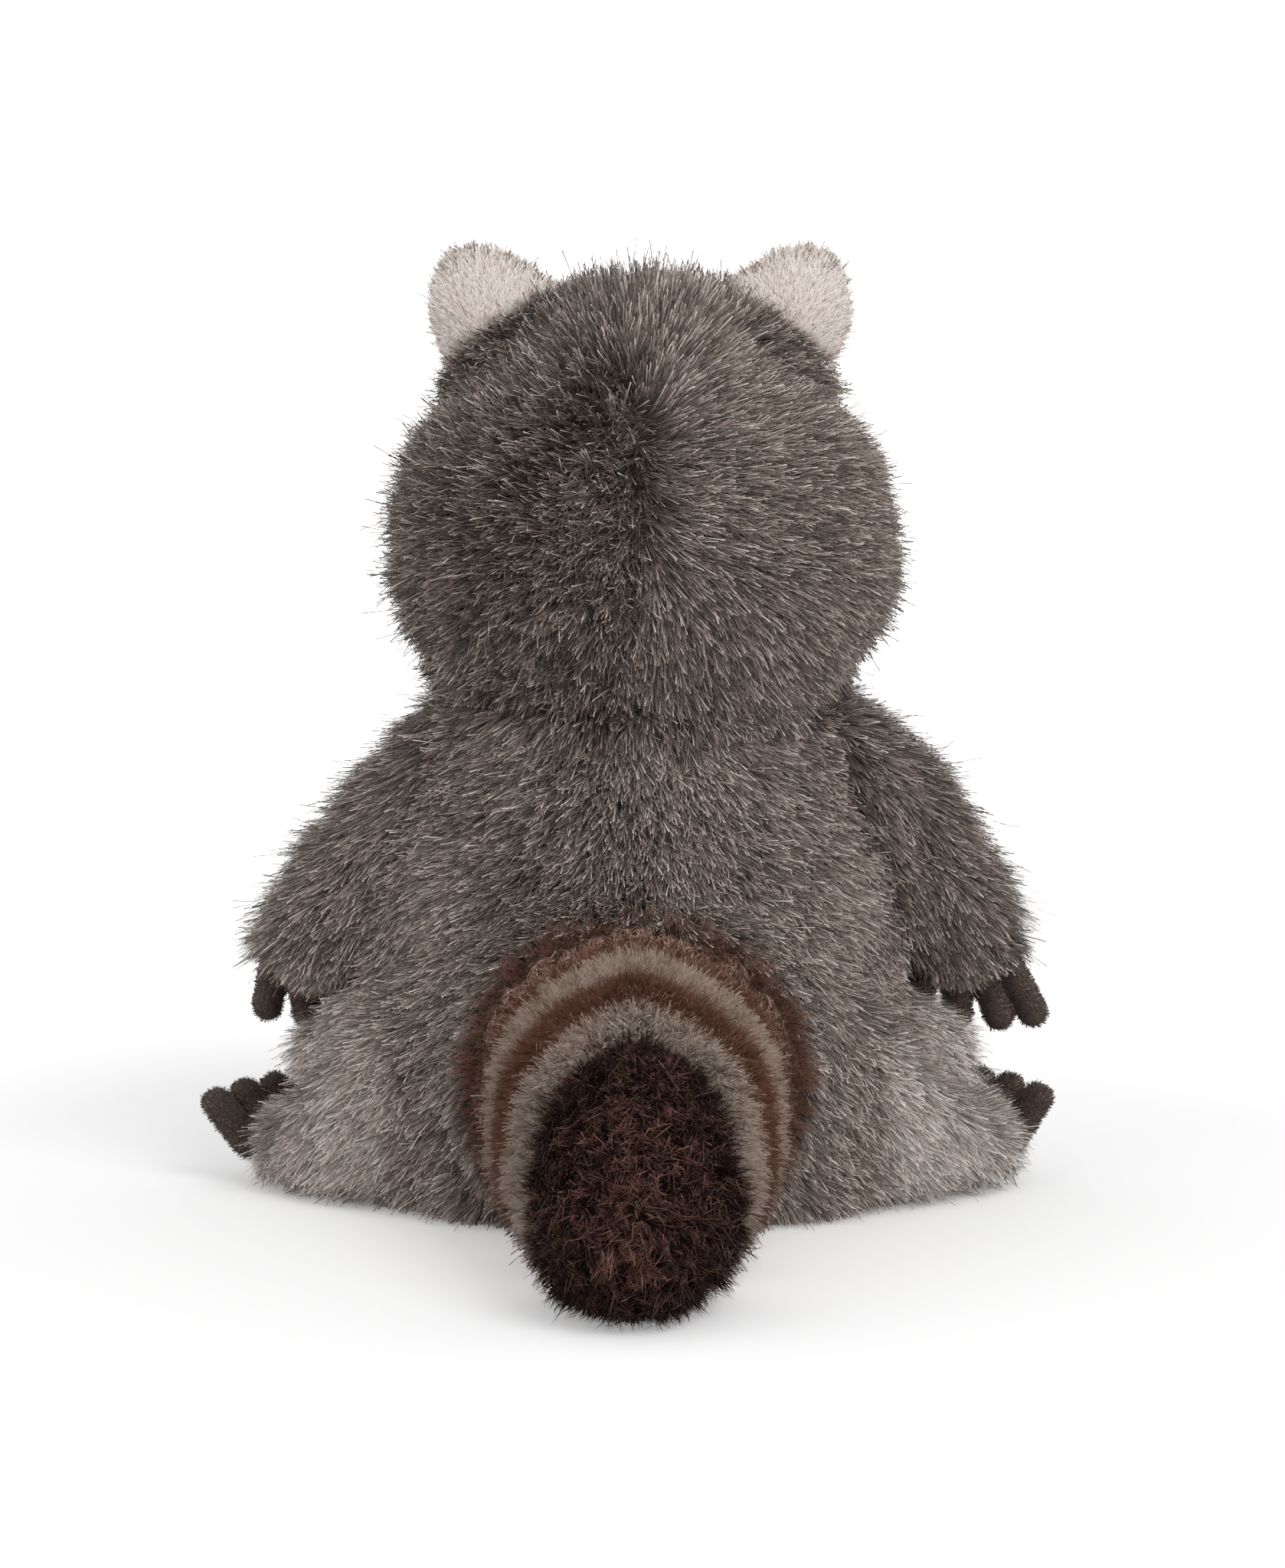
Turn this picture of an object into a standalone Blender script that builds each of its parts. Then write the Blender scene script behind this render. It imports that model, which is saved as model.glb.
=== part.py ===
# Sitting plush raccoon: torso, head, limbs and a ringed tail, each sewn piece a solid of its own.
# The toy faces -Y, its left side is +X, and it sits on the plane z = 0.
import math

import bmesh
import bpy
import numpy as np
from mathutils import Matrix, Vector

# Gap between neighbouring pieces, and the depth of a sewn-in panel
CLEARANCE = 0.0003
PANEL_DEPTH = 0.004

# The outline of a panel is cut through the toy between these two places, from the front
PANEL_CUT_FRONT = -0.112
PANEL_CUT_REAR = -0.013

# Torso: half width, half depth and centre line at each height above the seat
TORSO_TOP = 0.150
TORSO_UNDERSIDE = -0.020
TORSO_ROUNDING = 5.0
TORSO_PROFILE = (
    (-0.020, 0.0600, 0.0490, -0.004),
    (0.010, 0.0635, 0.0520, -0.004),
    (0.035, 0.0635, 0.0515, -0.005),
    (0.058, 0.0620, 0.0485, -0.005),
    (0.080, 0.0565, 0.0440, -0.004),
    (0.104, 0.0475, 0.0385, -0.003),
    (0.125, 0.0425, 0.0345, -0.003),
    (0.150, 0.0400, 0.0300, -0.003),
)

# Belly panel on the front of the torso
BELLY_HALF_WIDTH = 0.034
BELLY_HALF_HEIGHT = 0.041
BELLY_CENTRE_HEIGHT = 0.061
BELLY_SQUARENESS = 2.2

# Head: an egg with full cheeks, sunk on the neck
HEAD_HALF_WIDTH = 0.0605
HEAD_HALF_DEPTH = 0.052
HEAD_ABOVE_CENTRE = 0.065
HEAD_BELOW_CENTRE = 0.037
HEAD_CROWN_ROUNDING = 2.05
HEAD_CHEEK_ROUNDING = 2.6
HEAD_CENTRE = Vector((-0.0010, -0.008, 0.151))

# Face panel, and the mask patches set into it
FACE_HALF_WIDTH = 0.052
FACE_HALF_HEIGHT = 0.0385
FACE_DROP = -0.002
FACE_SQUARENESS = 2.7
MASK_HALF_LENGTH = 0.0185
MASK_HALF_HEIGHT = 0.0115
MASK_SIDE = 0.0260
MASK_DROP = -0.004
MASK_TILT = math.radians(24)
MASK_SQUARENESS = 2.0

# Muzzle and nose
MUZZLE_HALF_WIDTH = 0.0240
MUZZLE_HALF_HEIGHT = 0.0175
MUZZLE_HALF_LENGTH = 0.0230
MUZZLE_DROP = 0.0105
MUZZLE_SINK = 0.004
MUZZLE_NARROWING = 0.22
NOSE_HALF_WIDTH = 0.0080
NOSE_HALF_HEIGHT = 0.0058
NOSE_HALF_LENGTH = 0.0055
NOSE_RISE = 0.0075
NOSE_SINK = 0.0025
NOSE_WIDENING = 0.25

# Eyes: a dome on a shank, held behind the fabric by a washer
EYE_SIDE = 0.0225
EYE_DROP = -0.0065
EYE_RADIUS = 0.0052
EYE_DOME_HEIGHT = 0.0036
EYE_SINK = 0.0010
EYE_DOME_ANGLES = (68, 46, 23, 0)
SHANK_RADIUS = 0.0014
SHANK_LENGTH = 0.0090
WASHER_RADIUS = 0.0042
WASHER_THICKNESS = 0.0014
WASHER_DEPTH = 0.0052

# Ears: rounded triangles, cupped to the front, with a lining in the cup
EAR_SIDE = 0.0322
EAR_BEHIND_CENTRE = -0.002
EAR_HALF_WIDTH = 0.0185
EAR_HALF_THICKNESS = 0.0046
EAR_LENGTH = 0.0370
EAR_BLUNTNESS = 2.4
EAR_SINK = 0.0160
EAR_LEAN = math.radians(22)
EAR_CUP = 0.0040
EAR_TAPER = 0.17
EAR_CORNER_LIFT = 0.10
LINING_INSET = 0.0030
LINING_THICKNESS = 0.0032

# Arms: fur sleeves from the shoulder to the wrist, and the angle of each part from hanging straight
SHOULDER_HEIGHT = 0.1050
SHOULDER_SINK = 0.0060
SHOULDER_FORWARD = 0.006
UPPER_ARM_LENGTH = 0.0370
FOREARM_LENGTH = 0.0312
UPPER_ARM_RADIUS = 0.0165
ELBOW_RADIUS = 0.0175
WRIST_RADIUS = 0.0165
ARM_FORWARD_SLOPE = 0.12
ARM_ROUNDING = 4.0
ARM_ROOT_SHARE = 0.35
SHOULDER_PLACE = 0.26
ELBOW_PLACE = 0.62
ARM_SPREAD = {"left": (math.radians(37), math.radians(36)), "right": (math.radians(43), math.radians(33))}

# Hands: a suede palm with four fingers, and how far each hand is turned about its wrist
PALM_HALF_WIDTH = 0.0158
PALM_HALF_LENGTH = 0.0080
PALM_HALF_THICKNESS = 0.0034
FINGER_RADIUS = 0.0044
FINGER_LENGTH = 0.0138
FINGER_HALF_THICKNESS = 0.0030
FINGER_FAN = math.radians(12)
HAND_OUTSET = 0.0010
HAND_INWARD = 0.0030
HAND_TURN = {"left": math.radians(-35), "right": math.radians(-6)}
HAND_LEAN = {"left": math.radians(6), "right": math.radians(0)}

# Legs: half width and half height at each distance from the hip, along an axis that points
# outwards and forwards
HIP_HEIGHT_SINK = 0.0030
HIP_INSET = 0.0335
HIP_BACK = 0.0200
LEG_LENGTH = 0.0675
LEG_SPLAY = math.radians(37)
LEG_ROUNDING = 3.2
LEG_PROFILE = (
    (0.00, 0.0280, 0.0315),
    (0.40, 0.0290, 0.0305),
    (0.70, 0.0285, 0.0255),
    (0.85, 0.0270, 0.0217),
    (1.00, 0.0245, 0.0180),
)

# Feet: suede soles that lean outwards at the top, with four toes each
SOLE_HALF_WIDTH = 0.0185
SOLE_HALF_LENGTH = 0.0110
SOLE_HALF_THICKNESS = 0.0020
SOLE_LEAN = {"left": math.radians(34), "right": math.radians(27)}
SOLE_TURN = math.radians(1)
SOLE_OUTSET = {"left": 0.0030, "right": 0.0010}
TOE_RADIUS = 0.0042
TOE_LENGTH = 0.0168
TOE_HALF_THICKNESS = 0.0022
TOE_FAN = math.radians(7)

# Fingers and toes, counted across from the middle of the pad, and how blunt they are
DIGIT_PLACES = (-1.5, -0.5, 0.5, 1.5)
DIGIT_ROUNDING = 3.5
PALM_ROUNDING = 3.0

# Tail: rings of plush between seams, then the dark tip, which slumps on to the floor.
# Height of the middle, half width and half height at the root, at each seam and along the tip
TAIL_SINK = 0.012
TAIL_BAND_LENGTHS = (0.0225, 0.0155, 0.0155, 0.0160)
TAIL_SEAMS = (
    (0.0360, 0.0385, 0.0370),
    (0.0352, 0.0370, 0.0358),
    (0.0342, 0.0355, 0.0348),
    (0.0325, 0.0333, 0.0327),
    (0.0302, 0.0282, 0.0290),
)
TAIL_TIP_LENGTH = 0.0560
TAIL_TIP_PROFILE = (
    (0.00, 0.0302, 0.0276, 0.0288),
    (0.30, 0.0290, 0.0284, 0.0298),
    (0.65, 0.0262, 0.0272, 0.0272),
    (1.00, 0.0225, 0.0240, 0.0240),
)
TAIL_TIP_ROUNDING = 2.7
TAIL_SEAM_DIP = 0.0012

# Facets round and along each kind of form
BODY_FACETS = (32, 16)
HEAD_FACETS = (32, 18)
LIMB_FACETS = (20, 12)
SMALL_FACETS = (16, 8)
DIGIT_FACETS = (10, 6)
TURN_STEPS = 16
TAIL_FACETS = 26
TIP_RINGS = 14
BAND_CUTS = (-0.75, 0.0, 0.75)
SHARP_EDGE = math.radians(50)

SIDES = {"left": 1, "right": -1}
UP = Vector((0.0, 0.0, 1.0))
BACK = Vector((0.0, 1.0, 0.0))

COLOURS = {
    "grey_plush": ((0.105, 0.082, 0.068), 0.95),
    "light_plush": ((0.235, 0.190, 0.165), 0.95),
    "belly_plush": ((0.420, 0.350, 0.300), 0.95),
    "cream_plush": ((0.560, 0.470, 0.410), 0.95),
    "brown_plush": ((0.110, 0.065, 0.048), 0.95),
    "dark_brown_plush": ((0.040, 0.018, 0.014), 0.95),
    "suede": ((0.045, 0.033, 0.028), 0.90),
    "eye_plastic": ((0.012, 0.008, 0.006), 0.10),
    "washer_plastic": ((0.700, 0.700, 0.680), 0.45),
}


# Scene, collections and materials

def clear_scene():
    for thing in list(bpy.data.objects):
        bpy.data.objects.remove(thing)


def new_collection(name):
    collection = bpy.data.collections.new(name)
    bpy.context.scene.collection.children.link(collection)
    return collection


def plush_material(node, finish):
    colour, roughness = COLOURS[finish]
    material = bpy.data.materials.new(node)
    material.use_nodes = True
    shader = material.node_tree.nodes["Principled BSDF"]
    shader.inputs["Base Color"].default_value = (*colour, 1.0)
    shader.inputs["Roughness"].default_value = roughness
    shader.inputs["Metallic"].default_value = 0.0
    material.diffuse_color = (*colour, 1.0)
    return material


clear_scene()
toy = new_collection("Plush raccoon")
cutters = new_collection("Cutters")


def add_piece(name, mesh, finish):
    mesh.name = name
    piece = bpy.data.objects.new(name, mesh)
    piece.data.materials.clear()
    piece.data.materials.append(plush_material(name, finish))
    toy.objects.link(piece)
    return piece


def add_cutter(name, mesh):
    cutter = bpy.data.objects.new(name + "_cutter", mesh)
    cutter.hide_render = True
    cutter.display_type = "WIRE"
    cutters.objects.link(cutter)
    return cutter


def combine(piece, operation, *others):
    for other in others:
        step = piece.modifiers.new(operation.title() + " " + other.name, "BOOLEAN")
        step.operation = operation
        step.solver = "EXACT"
        step.object = other


# Meshes

def smooth_rows(rows):
    # A smooth curve through rows of a position and its values, held level past both ends
    keys = np.array([row[0] for row in rows])
    values = np.array([row[1:] for row in rows])
    slopes = np.gradient(values, keys, axis=0)

    def at(position):
        place = min(max(position, keys[0]), keys[-1])
        start = min(int(np.searchsorted(keys, place, side="right")), len(keys) - 1) - 1
        span = keys[start + 1] - keys[start]
        s = (place - keys[start]) / span
        return ((2 * s**3 - 3 * s**2 + 1) * values[start] + (s**3 - 2 * s**2 + s) * span * slopes[start]
                + (3 * s**2 - 2 * s**3) * values[start + 1] + (s**3 - s**2) * span * slopes[start + 1])

    return at


def rounding(height, power):
    # How wide a form still is at a height between -1 and 1, full in the middle and closed at both ends
    return max(0.0, 1.0 - abs(height) ** power) ** (1.0 / power)


def finish_mesh(shell, grow, on_floor, name):
    # The form is laid flat where it meets the floor, grown along its normals and turned into a mesh
    for corner in shell.verts:
        if on_floor and corner.co.z < 0.0:
            corner.co.z = 0.0
    bmesh.ops.recalc_face_normals(shell, faces=shell.faces)
    if shell.calc_volume(signed=True) < 0:
        bmesh.ops.reverse_faces(shell, faces=shell.faces)
    shell.normal_update()
    if grow:
        moves = [(corner, corner.normal * grow) for corner in shell.verts]
        for corner, move in moves:
            corner.co += move
    mesh = bpy.data.meshes.new(name)
    shell.to_mesh(mesh)
    shell.free()
    mesh.shade_smooth()
    mesh.set_sharp_from_angle(angle=SHARP_EDGE)
    return mesh


def soft_mesh(name, shape, facets, grow=0.0, on_floor=False):
    # A ball whose points are carried to the form by a function of the unit ball
    shell = bmesh.new()
    bmesh.ops.create_uvsphere(shell, u_segments=facets[0], v_segments=facets[1], radius=1.0)
    for corner in shell.verts:
        corner.co = shape(corner.co.copy())
    return finish_mesh(shell, grow, on_floor, name)


def around(unit):
    # The direction of a point of the unit ball round its axis
    radius = math.hypot(unit.x, unit.y)
    if radius < 1e-9:
        return 1.0, 0.0
    return unit.x / radius, unit.y / radius


def fused_mesh(name, meshes):
    # The Boolean union of closed meshes
    base = bpy.data.objects.new(name, meshes[0])
    bpy.context.scene.collection.objects.link(base)
    helpers = []
    for mesh in meshes[1:]:
        helper = bpy.data.objects.new(mesh.name, mesh)
        bpy.context.scene.collection.objects.link(helper)
        helpers.append(helper)
    combine(base, "UNION", *helpers)
    bpy.context.view_layer.update()
    ready = base.evaluated_get(bpy.context.evaluated_depsgraph_get())
    result = bpy.data.meshes.new_from_object(ready)
    for thing in [base] + helpers:
        bpy.data.objects.remove(thing)
    return result


def turned_mesh(name, profile, place):
    # A profile of radius and height turned about Z, listed from the top down its outer side
    shell = bmesh.new()
    corners = [shell.verts.new((radius, 0.0, height)) for radius, height in profile]
    edges = [shell.edges.new(pair) for pair in zip(corners, corners[1:])]
    if profile[0][0] > 0.0:
        edges.append(shell.edges.new((corners[-1], corners[0])))
    bmesh.ops.spin(shell, geom=corners + edges, cent=(0, 0, 0), axis=(0, 0, 1), angle=2 * math.pi,
                   steps=TURN_STEPS, use_merge=True)
    bmesh.ops.remove_doubles(shell, verts=shell.verts, dist=1e-6)
    bmesh.ops.transform(shell, matrix=place, verts=shell.verts)
    return finish_mesh(shell, 0.0, False, name)


def front_prism(name, half_width, half_height, centre, squareness, tilt=0.0, grow=0.0):
    # A rounded outline in the XZ plane, drawn out through the front half of the toy
    shell = bmesh.new()
    bmesh.ops.create_cone(shell, cap_ends=True, segments=BODY_FACETS[0], radius1=1.0, radius2=1.0, depth=1.0)
    for corner in shell.verts:
        across, over, depth = corner.co
        reach = (abs(across) ** squareness + abs(over) ** squareness) ** (-1.0 / squareness)
        along = across * reach * (half_width + grow)
        rise = over * reach * (half_height + grow)
        corner.co = Vector((centre[0] + along * math.cos(tilt) - rise * math.sin(tilt),
                            PANEL_CUT_FRONT + (depth + 0.5) * (PANEL_CUT_REAR - PANEL_CUT_FRONT),
                            centre[1] + along * math.sin(tilt) + rise * math.cos(tilt)))
    return finish_mesh(shell, 0.0, False, name)


# Torso and belly panel

torso_at = smooth_rows(TORSO_PROFILE)


def torso_shape(unit):
    height = TORSO_UNDERSIDE + (TORSO_TOP - TORSO_UNDERSIDE) * (unit.z + 1) / 2
    half_width, half_depth, centre = torso_at(height)
    across, over = around(unit)
    reach = rounding(unit.z, TORSO_ROUNDING)
    return Vector((across * half_width * reach, centre + over * half_depth * reach, height))


def torso_mesh(grow=0.0):
    return soft_mesh("torso", torso_shape, BODY_FACETS, grow, on_floor=True)


# Head

def head_reach(height):
    # Share of the full width that the head has at a height of -1 to 1
    power = HEAD_CROWN_ROUNDING if height > 0 else HEAD_CHEEK_ROUNDING
    return rounding(height, power)


def head_shape(unit):
    across, over = around(unit)
    reach = head_reach(unit.z)
    rise = unit.z * (HEAD_ABOVE_CENTRE if unit.z > 0 else HEAD_BELOW_CENTRE)
    return HEAD_CENTRE + Vector((across * HEAD_HALF_WIDTH * reach, over * HEAD_HALF_DEPTH * reach, rise))


def head_mesh(grow=0.0):
    return soft_mesh("head", head_shape, HEAD_FACETS, grow)


def head_surface(side, rise):
    # The point of the head's front at a place to the side of its centre and above it, and its normal
    def depth_at(s, r):
        level = r / (HEAD_ABOVE_CENTRE if r > 0 else HEAD_BELOW_CENTRE)
        return HEAD_HALF_DEPTH * math.sqrt(max(0.0, head_reach(level) ** 2 - (s / HEAD_HALF_WIDTH) ** 2))

    step = 0.0005
    point = HEAD_CENTRE + Vector((side, -depth_at(side, rise), rise))
    slope_side = (depth_at(side + step, rise) - depth_at(side - step, rise)) / (2 * step)
    slope_rise = (depth_at(side, rise + step) - depth_at(side, rise - step)) / (2 * step)
    return point, Vector((-slope_side, -1.0, -slope_rise)).normalized()


# Face: mask patches, muzzle, nose and eyes

def face_prism(grow=0.0):
    centre = (HEAD_CENTRE.x, HEAD_CENTRE.z - FACE_DROP)
    return front_prism("face", FACE_HALF_WIDTH, FACE_HALF_HEIGHT, centre, FACE_SQUARENESS, 0.0, grow)


def mask_prism(sign, grow=0.0):
    centre = (HEAD_CENTRE.x + sign * MASK_SIDE, HEAD_CENTRE.z - MASK_DROP)
    return front_prism("mask", MASK_HALF_LENGTH, MASK_HALF_HEIGHT, centre, MASK_SQUARENESS,
                       -sign * MASK_TILT, grow)


def muzzle_centre():
    point, _ = head_surface(0.0, -MUZZLE_DROP)
    return point + BACK * MUZZLE_SINK


def muzzle_shape(unit):
    # The muzzle narrows towards its front
    narrowing = 1.0 - MUZZLE_NARROWING * max(0.0, -unit.y)
    return muzzle_centre() + Vector((unit.x * MUZZLE_HALF_WIDTH * narrowing, unit.y * MUZZLE_HALF_LENGTH,
                                     unit.z * MUZZLE_HALF_HEIGHT * narrowing))


def nose_centre():
    front = -MUZZLE_HALF_LENGTH * math.sqrt(1.0 - (NOSE_RISE / MUZZLE_HALF_HEIGHT) ** 2)
    return muzzle_centre() + Vector((0.0, front + NOSE_SINK, NOSE_RISE))


def nose_shape(unit):
    # A rounded triangle, wide at the top
    widening = 1.0 + NOSE_WIDENING * unit.z
    return nose_centre() + Vector((unit.x * NOSE_HALF_WIDTH * widening, unit.y * NOSE_HALF_LENGTH,
                                   unit.z * NOSE_HALF_HEIGHT))


def eye_place(sign):
    point, normal = head_surface(sign * EYE_SIDE, -EYE_DROP)
    return Matrix.Translation(point - normal * EYE_SINK) @ normal.to_track_quat("Z", "Y").to_matrix().to_4x4()


def eye_profile(grow=0.0, pocket=()):
    # The dome's rim is at height 0 and the shank runs down from it, past the washer's pocket if there is one
    arc = [math.radians(angle) for angle in EYE_DOME_ANGLES]
    dome = [(0.0, EYE_DOME_HEIGHT + grow)]
    dome += [((EYE_RADIUS + grow) * math.cos(a), (EYE_DOME_HEIGHT + grow) * math.sin(a)) for a in arc]
    return dome + [(EYE_RADIUS + grow, -EYE_SINK - grow), (SHANK_RADIUS + grow, -EYE_SINK - grow), *pocket,
                   (SHANK_RADIUS + grow, -SHANK_LENGTH - grow), (0.0, -SHANK_LENGTH - grow)]


def washer_profile():
    inner = SHANK_RADIUS + CLEARANCE
    return [(inner, -WASHER_DEPTH), (WASHER_RADIUS, -WASHER_DEPTH),
            (WASHER_RADIUS, -WASHER_DEPTH - WASHER_THICKNESS), (inner, -WASHER_DEPTH - WASHER_THICKNESS)]


def eye_seat_profile():
    # The hollow that holds the eye, its shank and the washer
    radius = WASHER_RADIUS + CLEARANCE
    bore = SHANK_RADIUS + CLEARANCE
    top = -WASHER_DEPTH + CLEARANCE
    bottom = -WASHER_DEPTH - WASHER_THICKNESS - CLEARANCE
    return eye_profile(CLEARANCE, [(bore, top), (radius, top), (radius, bottom), (bore, bottom)])


# Ears

def ear_frame(sign):
    # Across, along and front directions of an ear, and the middle of its foot inside the head
    along = Vector((sign * math.sin(EAR_LEAN), 0.0, math.cos(EAR_LEAN)))
    across = Vector((math.cos(EAR_LEAN), 0.0, -sign * math.sin(EAR_LEAN)))
    rise = HEAD_ABOVE_CENTRE * math.sqrt(1.0 - (EAR_SIDE / HEAD_HALF_WIDTH) ** 2)
    foot = HEAD_CENTRE + Vector((sign * EAR_SIDE, EAR_BEHIND_CENTRE, rise)) - along * EAR_SINK
    return across, along, -BACK, foot


def ear_shape(sign, inset=0.0, forward=0.0, half_thickness=EAR_HALF_THICKNESS):
    across, along, front, foot = ear_frame(sign)
    half_length = EAR_LENGTH / 2 - inset
    half_width = EAR_HALF_WIDTH - inset

    def shape(unit):
        # The widest part is low, and the outer corner is fuller than the inner one
        turn_across, turn_over = around(unit)
        reach = rounding(unit.z, EAR_BLUNTNESS)
        side = turn_across * reach * half_width * (1.0 - EAR_TAPER * (unit.z + 1))
        lift = EAR_CORNER_LIFT * half_length * sign * turn_across * reach * (unit.z + 1)
        cup = EAR_CUP * (side / EAR_HALF_WIDTH) ** 2
        return (foot + across * side + along * (EAR_LENGTH / 2 + unit.z * half_length + lift)
                + front * (-turn_over * reach * half_thickness + forward + cup))

    return shape


# Arms and hands

def arm_path(name):
    sign = SIDES[name]
    upper, fore = ARM_SPREAD[name]
    half_width, _, centre = torso_at(SHOULDER_HEIGHT)
    shoulder = Vector((half_width - SHOULDER_SINK, centre - SHOULDER_FORWARD, SHOULDER_HEIGHT))
    elbow = shoulder + UPPER_ARM_LENGTH * Vector((math.sin(upper), -ARM_FORWARD_SLOPE, -math.cos(upper)))
    wrist = elbow + FOREARM_LENGTH * Vector((math.sin(fore), -ARM_FORWARD_SLOPE, -math.cos(fore)))
    return [Vector((sign * point.x, point.y, point.z)) for point in (shoulder, elbow, wrist)]


def arm_shape(name):
    shoulder, elbow, wrist = arm_path(name)
    root = shoulder - ARM_ROOT_SHARE * (elbow - shoulder)
    rows = [(0.0, *root, UPPER_ARM_RADIUS), (SHOULDER_PLACE, *shoulder, UPPER_ARM_RADIUS),
            (ELBOW_PLACE, *elbow, ELBOW_RADIUS), (1.0, *wrist, WRIST_RADIUS)]
    row_at = smooth_rows(rows)
    step = 0.01

    def shape(unit):
        place = (unit.z + 1) / 2
        x, y, z, radius = row_at(place)
        ahead = Vector(row_at(min(1.0, place + step))[:3])
        behind = Vector(row_at(max(0.0, place - step))[:3])
        tangent = (ahead - behind).normalized()
        side = tangent.cross(BACK).normalized()
        over = side.cross(tangent)
        across, up = around(unit)
        reach = radius * rounding(unit.z, ARM_ROUNDING)
        return Vector((x, y, z)) + side * (across * reach) + over * (up * reach)

    return shape


def digit_mesh(root, direction, across, length, radius, half_thickness, grow):
    # A finger or toe: a stretched ball from its root, thinner than it is wide
    over = direction.cross(across).normalized()
    middle = root + direction * (length / 2)

    def shape(unit):
        reach = rounding(unit.z, DIGIT_ROUNDING)
        turn_across, turn_over = around(unit)
        return (middle + direction * (unit.z * length / 2) + across * (turn_across * radius * reach)
                + over * (turn_over * half_thickness * reach))

    return soft_mesh("digit", shape, DIGIT_FACETS, grow)


def pad_mesh(name, centre, along, across, half_sizes, digit, fan, grow):
    # A flat suede pad with four digits that fan out from it
    over = along.cross(across).normalized()
    half_width, half_length, half_thickness = half_sizes
    length, radius, digit_thickness = digit

    def palm_shape(unit):
        reach = rounding(unit.z, PALM_ROUNDING)
        turn_across, turn_along = around(unit)
        return (centre + over * (unit.z * half_thickness) + across * (turn_across * half_width * reach)
                + along * (turn_along * half_length * reach))

    meshes = [soft_mesh(name, palm_shape, SMALL_FACETS, grow)]
    spacing = (half_width - radius) / DIGIT_PLACES[-1]
    for place in DIGIT_PLACES:
        turn = Matrix.Rotation(place * fan, 4, over)
        direction = (turn @ along).normalized()
        width = (turn @ across).normalized()
        root = centre - across * (place * spacing)
        meshes.append(digit_mesh(root, direction, width, length, radius, digit_thickness, grow))
    return fused_mesh(name, meshes)


def hand_mesh(name, grow=0.0):
    sign = SIDES[name]
    wrist = arm_path(name)[2]
    turn = Matrix.Rotation(sign * HAND_TURN[name], 4, "Z")
    lean = Matrix.Rotation(-sign * HAND_LEAN[name], 4, "Y")
    across = turn @ lean @ Vector((1.0, 0.0, 0.0))
    along = turn @ lean @ Vector((0.0, 0.0, -1.0))
    centre = wrist + along * HAND_OUTSET - Vector((sign * HAND_INWARD, 0.0, 0.0))
    return pad_mesh("hand_" + name, centre, along, across,
                    (PALM_HALF_WIDTH, PALM_HALF_LENGTH, PALM_HALF_THICKNESS),
                    (FINGER_LENGTH, FINGER_RADIUS, FINGER_HALF_THICKNESS), FINGER_FAN, grow)


# Legs and feet

leg_at = smooth_rows(LEG_PROFILE)


def leg_frame(sign):
    # Hip, axis and across directions of a leg, level with the floor
    half_width, _, centre = torso_at(LEG_PROFILE[0][2])
    hip = Vector((sign * (half_width - HIP_INSET), centre + HIP_BACK, 0.0))
    axis = Vector((sign * math.cos(LEG_SPLAY), -math.sin(LEG_SPLAY), 0.0))
    across = Vector((sign * math.sin(LEG_SPLAY), math.cos(LEG_SPLAY), 0.0))
    return hip, axis, across


def leg_shape(sign):
    hip, axis, across = leg_frame(sign)

    def shape(unit):
        place = (unit.z + 1) / 2
        half_width, half_height = leg_at(place)
        reach = rounding(unit.z, LEG_ROUNDING)
        turn_across, turn_over = around(unit)
        middle = half_height - HIP_HEIGHT_SINK
        return (hip + axis * (place * LEG_LENGTH) + across * (turn_across * half_width * reach)
                + UP * (middle + turn_over * half_height * reach))

    return shape


def foot_mesh(name, grow=0.0):
    sign = SIDES[name]
    hip, axis, across = leg_frame(sign)
    lean = SOLE_LEAN[name]
    lowest = SOLE_HALF_LENGTH * math.cos(lean) + SOLE_HALF_THICKNESS
    centre = hip + axis * (LEG_LENGTH + SOLE_OUTSET[name]) + UP * lowest
    turn = Matrix.Rotation(-sign * SOLE_TURN, 3, "Z")
    facing = turn @ axis
    across = turn @ across
    along = (facing * math.sin(lean) + UP * math.cos(lean)).normalized()
    return pad_mesh("foot_" + name, centre, along, across,
                    (SOLE_HALF_WIDTH, SOLE_HALF_LENGTH, SOLE_HALF_THICKNESS),
                    (TOE_LENGTH, TOE_RADIUS, TOE_HALF_THICKNESS), TOE_FAN, grow)


# Tail

def tail_root():
    # Where the tail's first seam lies inside the back of the torso
    _, half_depth, centre = torso_at(TAIL_SEAMS[0][0])
    return centre + half_depth - TAIL_SINK


def band_mesh(name, start, length, first_seam, last_seam):
    # A ring of plush that swells a little between its two seams
    shell = bmesh.new()
    bmesh.ops.create_cone(shell, cap_ends=True, segments=TAIL_FACETS, radius1=1.0, radius2=1.0, depth=2.0)
    for level in BAND_CUTS:
        bmesh.ops.bisect_plane(shell, geom=shell.verts[:] + shell.edges[:] + shell.faces[:],
                               plane_co=(0, 0, level), plane_no=(0, 0, 1), dist=1e-6)
    for corner in shell.verts:
        across, over, along = corner.co
        share = (along + 1) / 2
        middle, half_width, half_height = [a + (b - a) * share for a, b in zip(first_seam, last_seam)]
        swell = TAIL_SEAM_DIP * (1 - along**4)
        place = start + CLEARANCE / 2 + share * (length - CLEARANCE)
        corner.co = Vector((-across * (half_width + swell), place, middle + over * (half_height + swell)))
    return finish_mesh(shell, 0.0, True, name)


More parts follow.
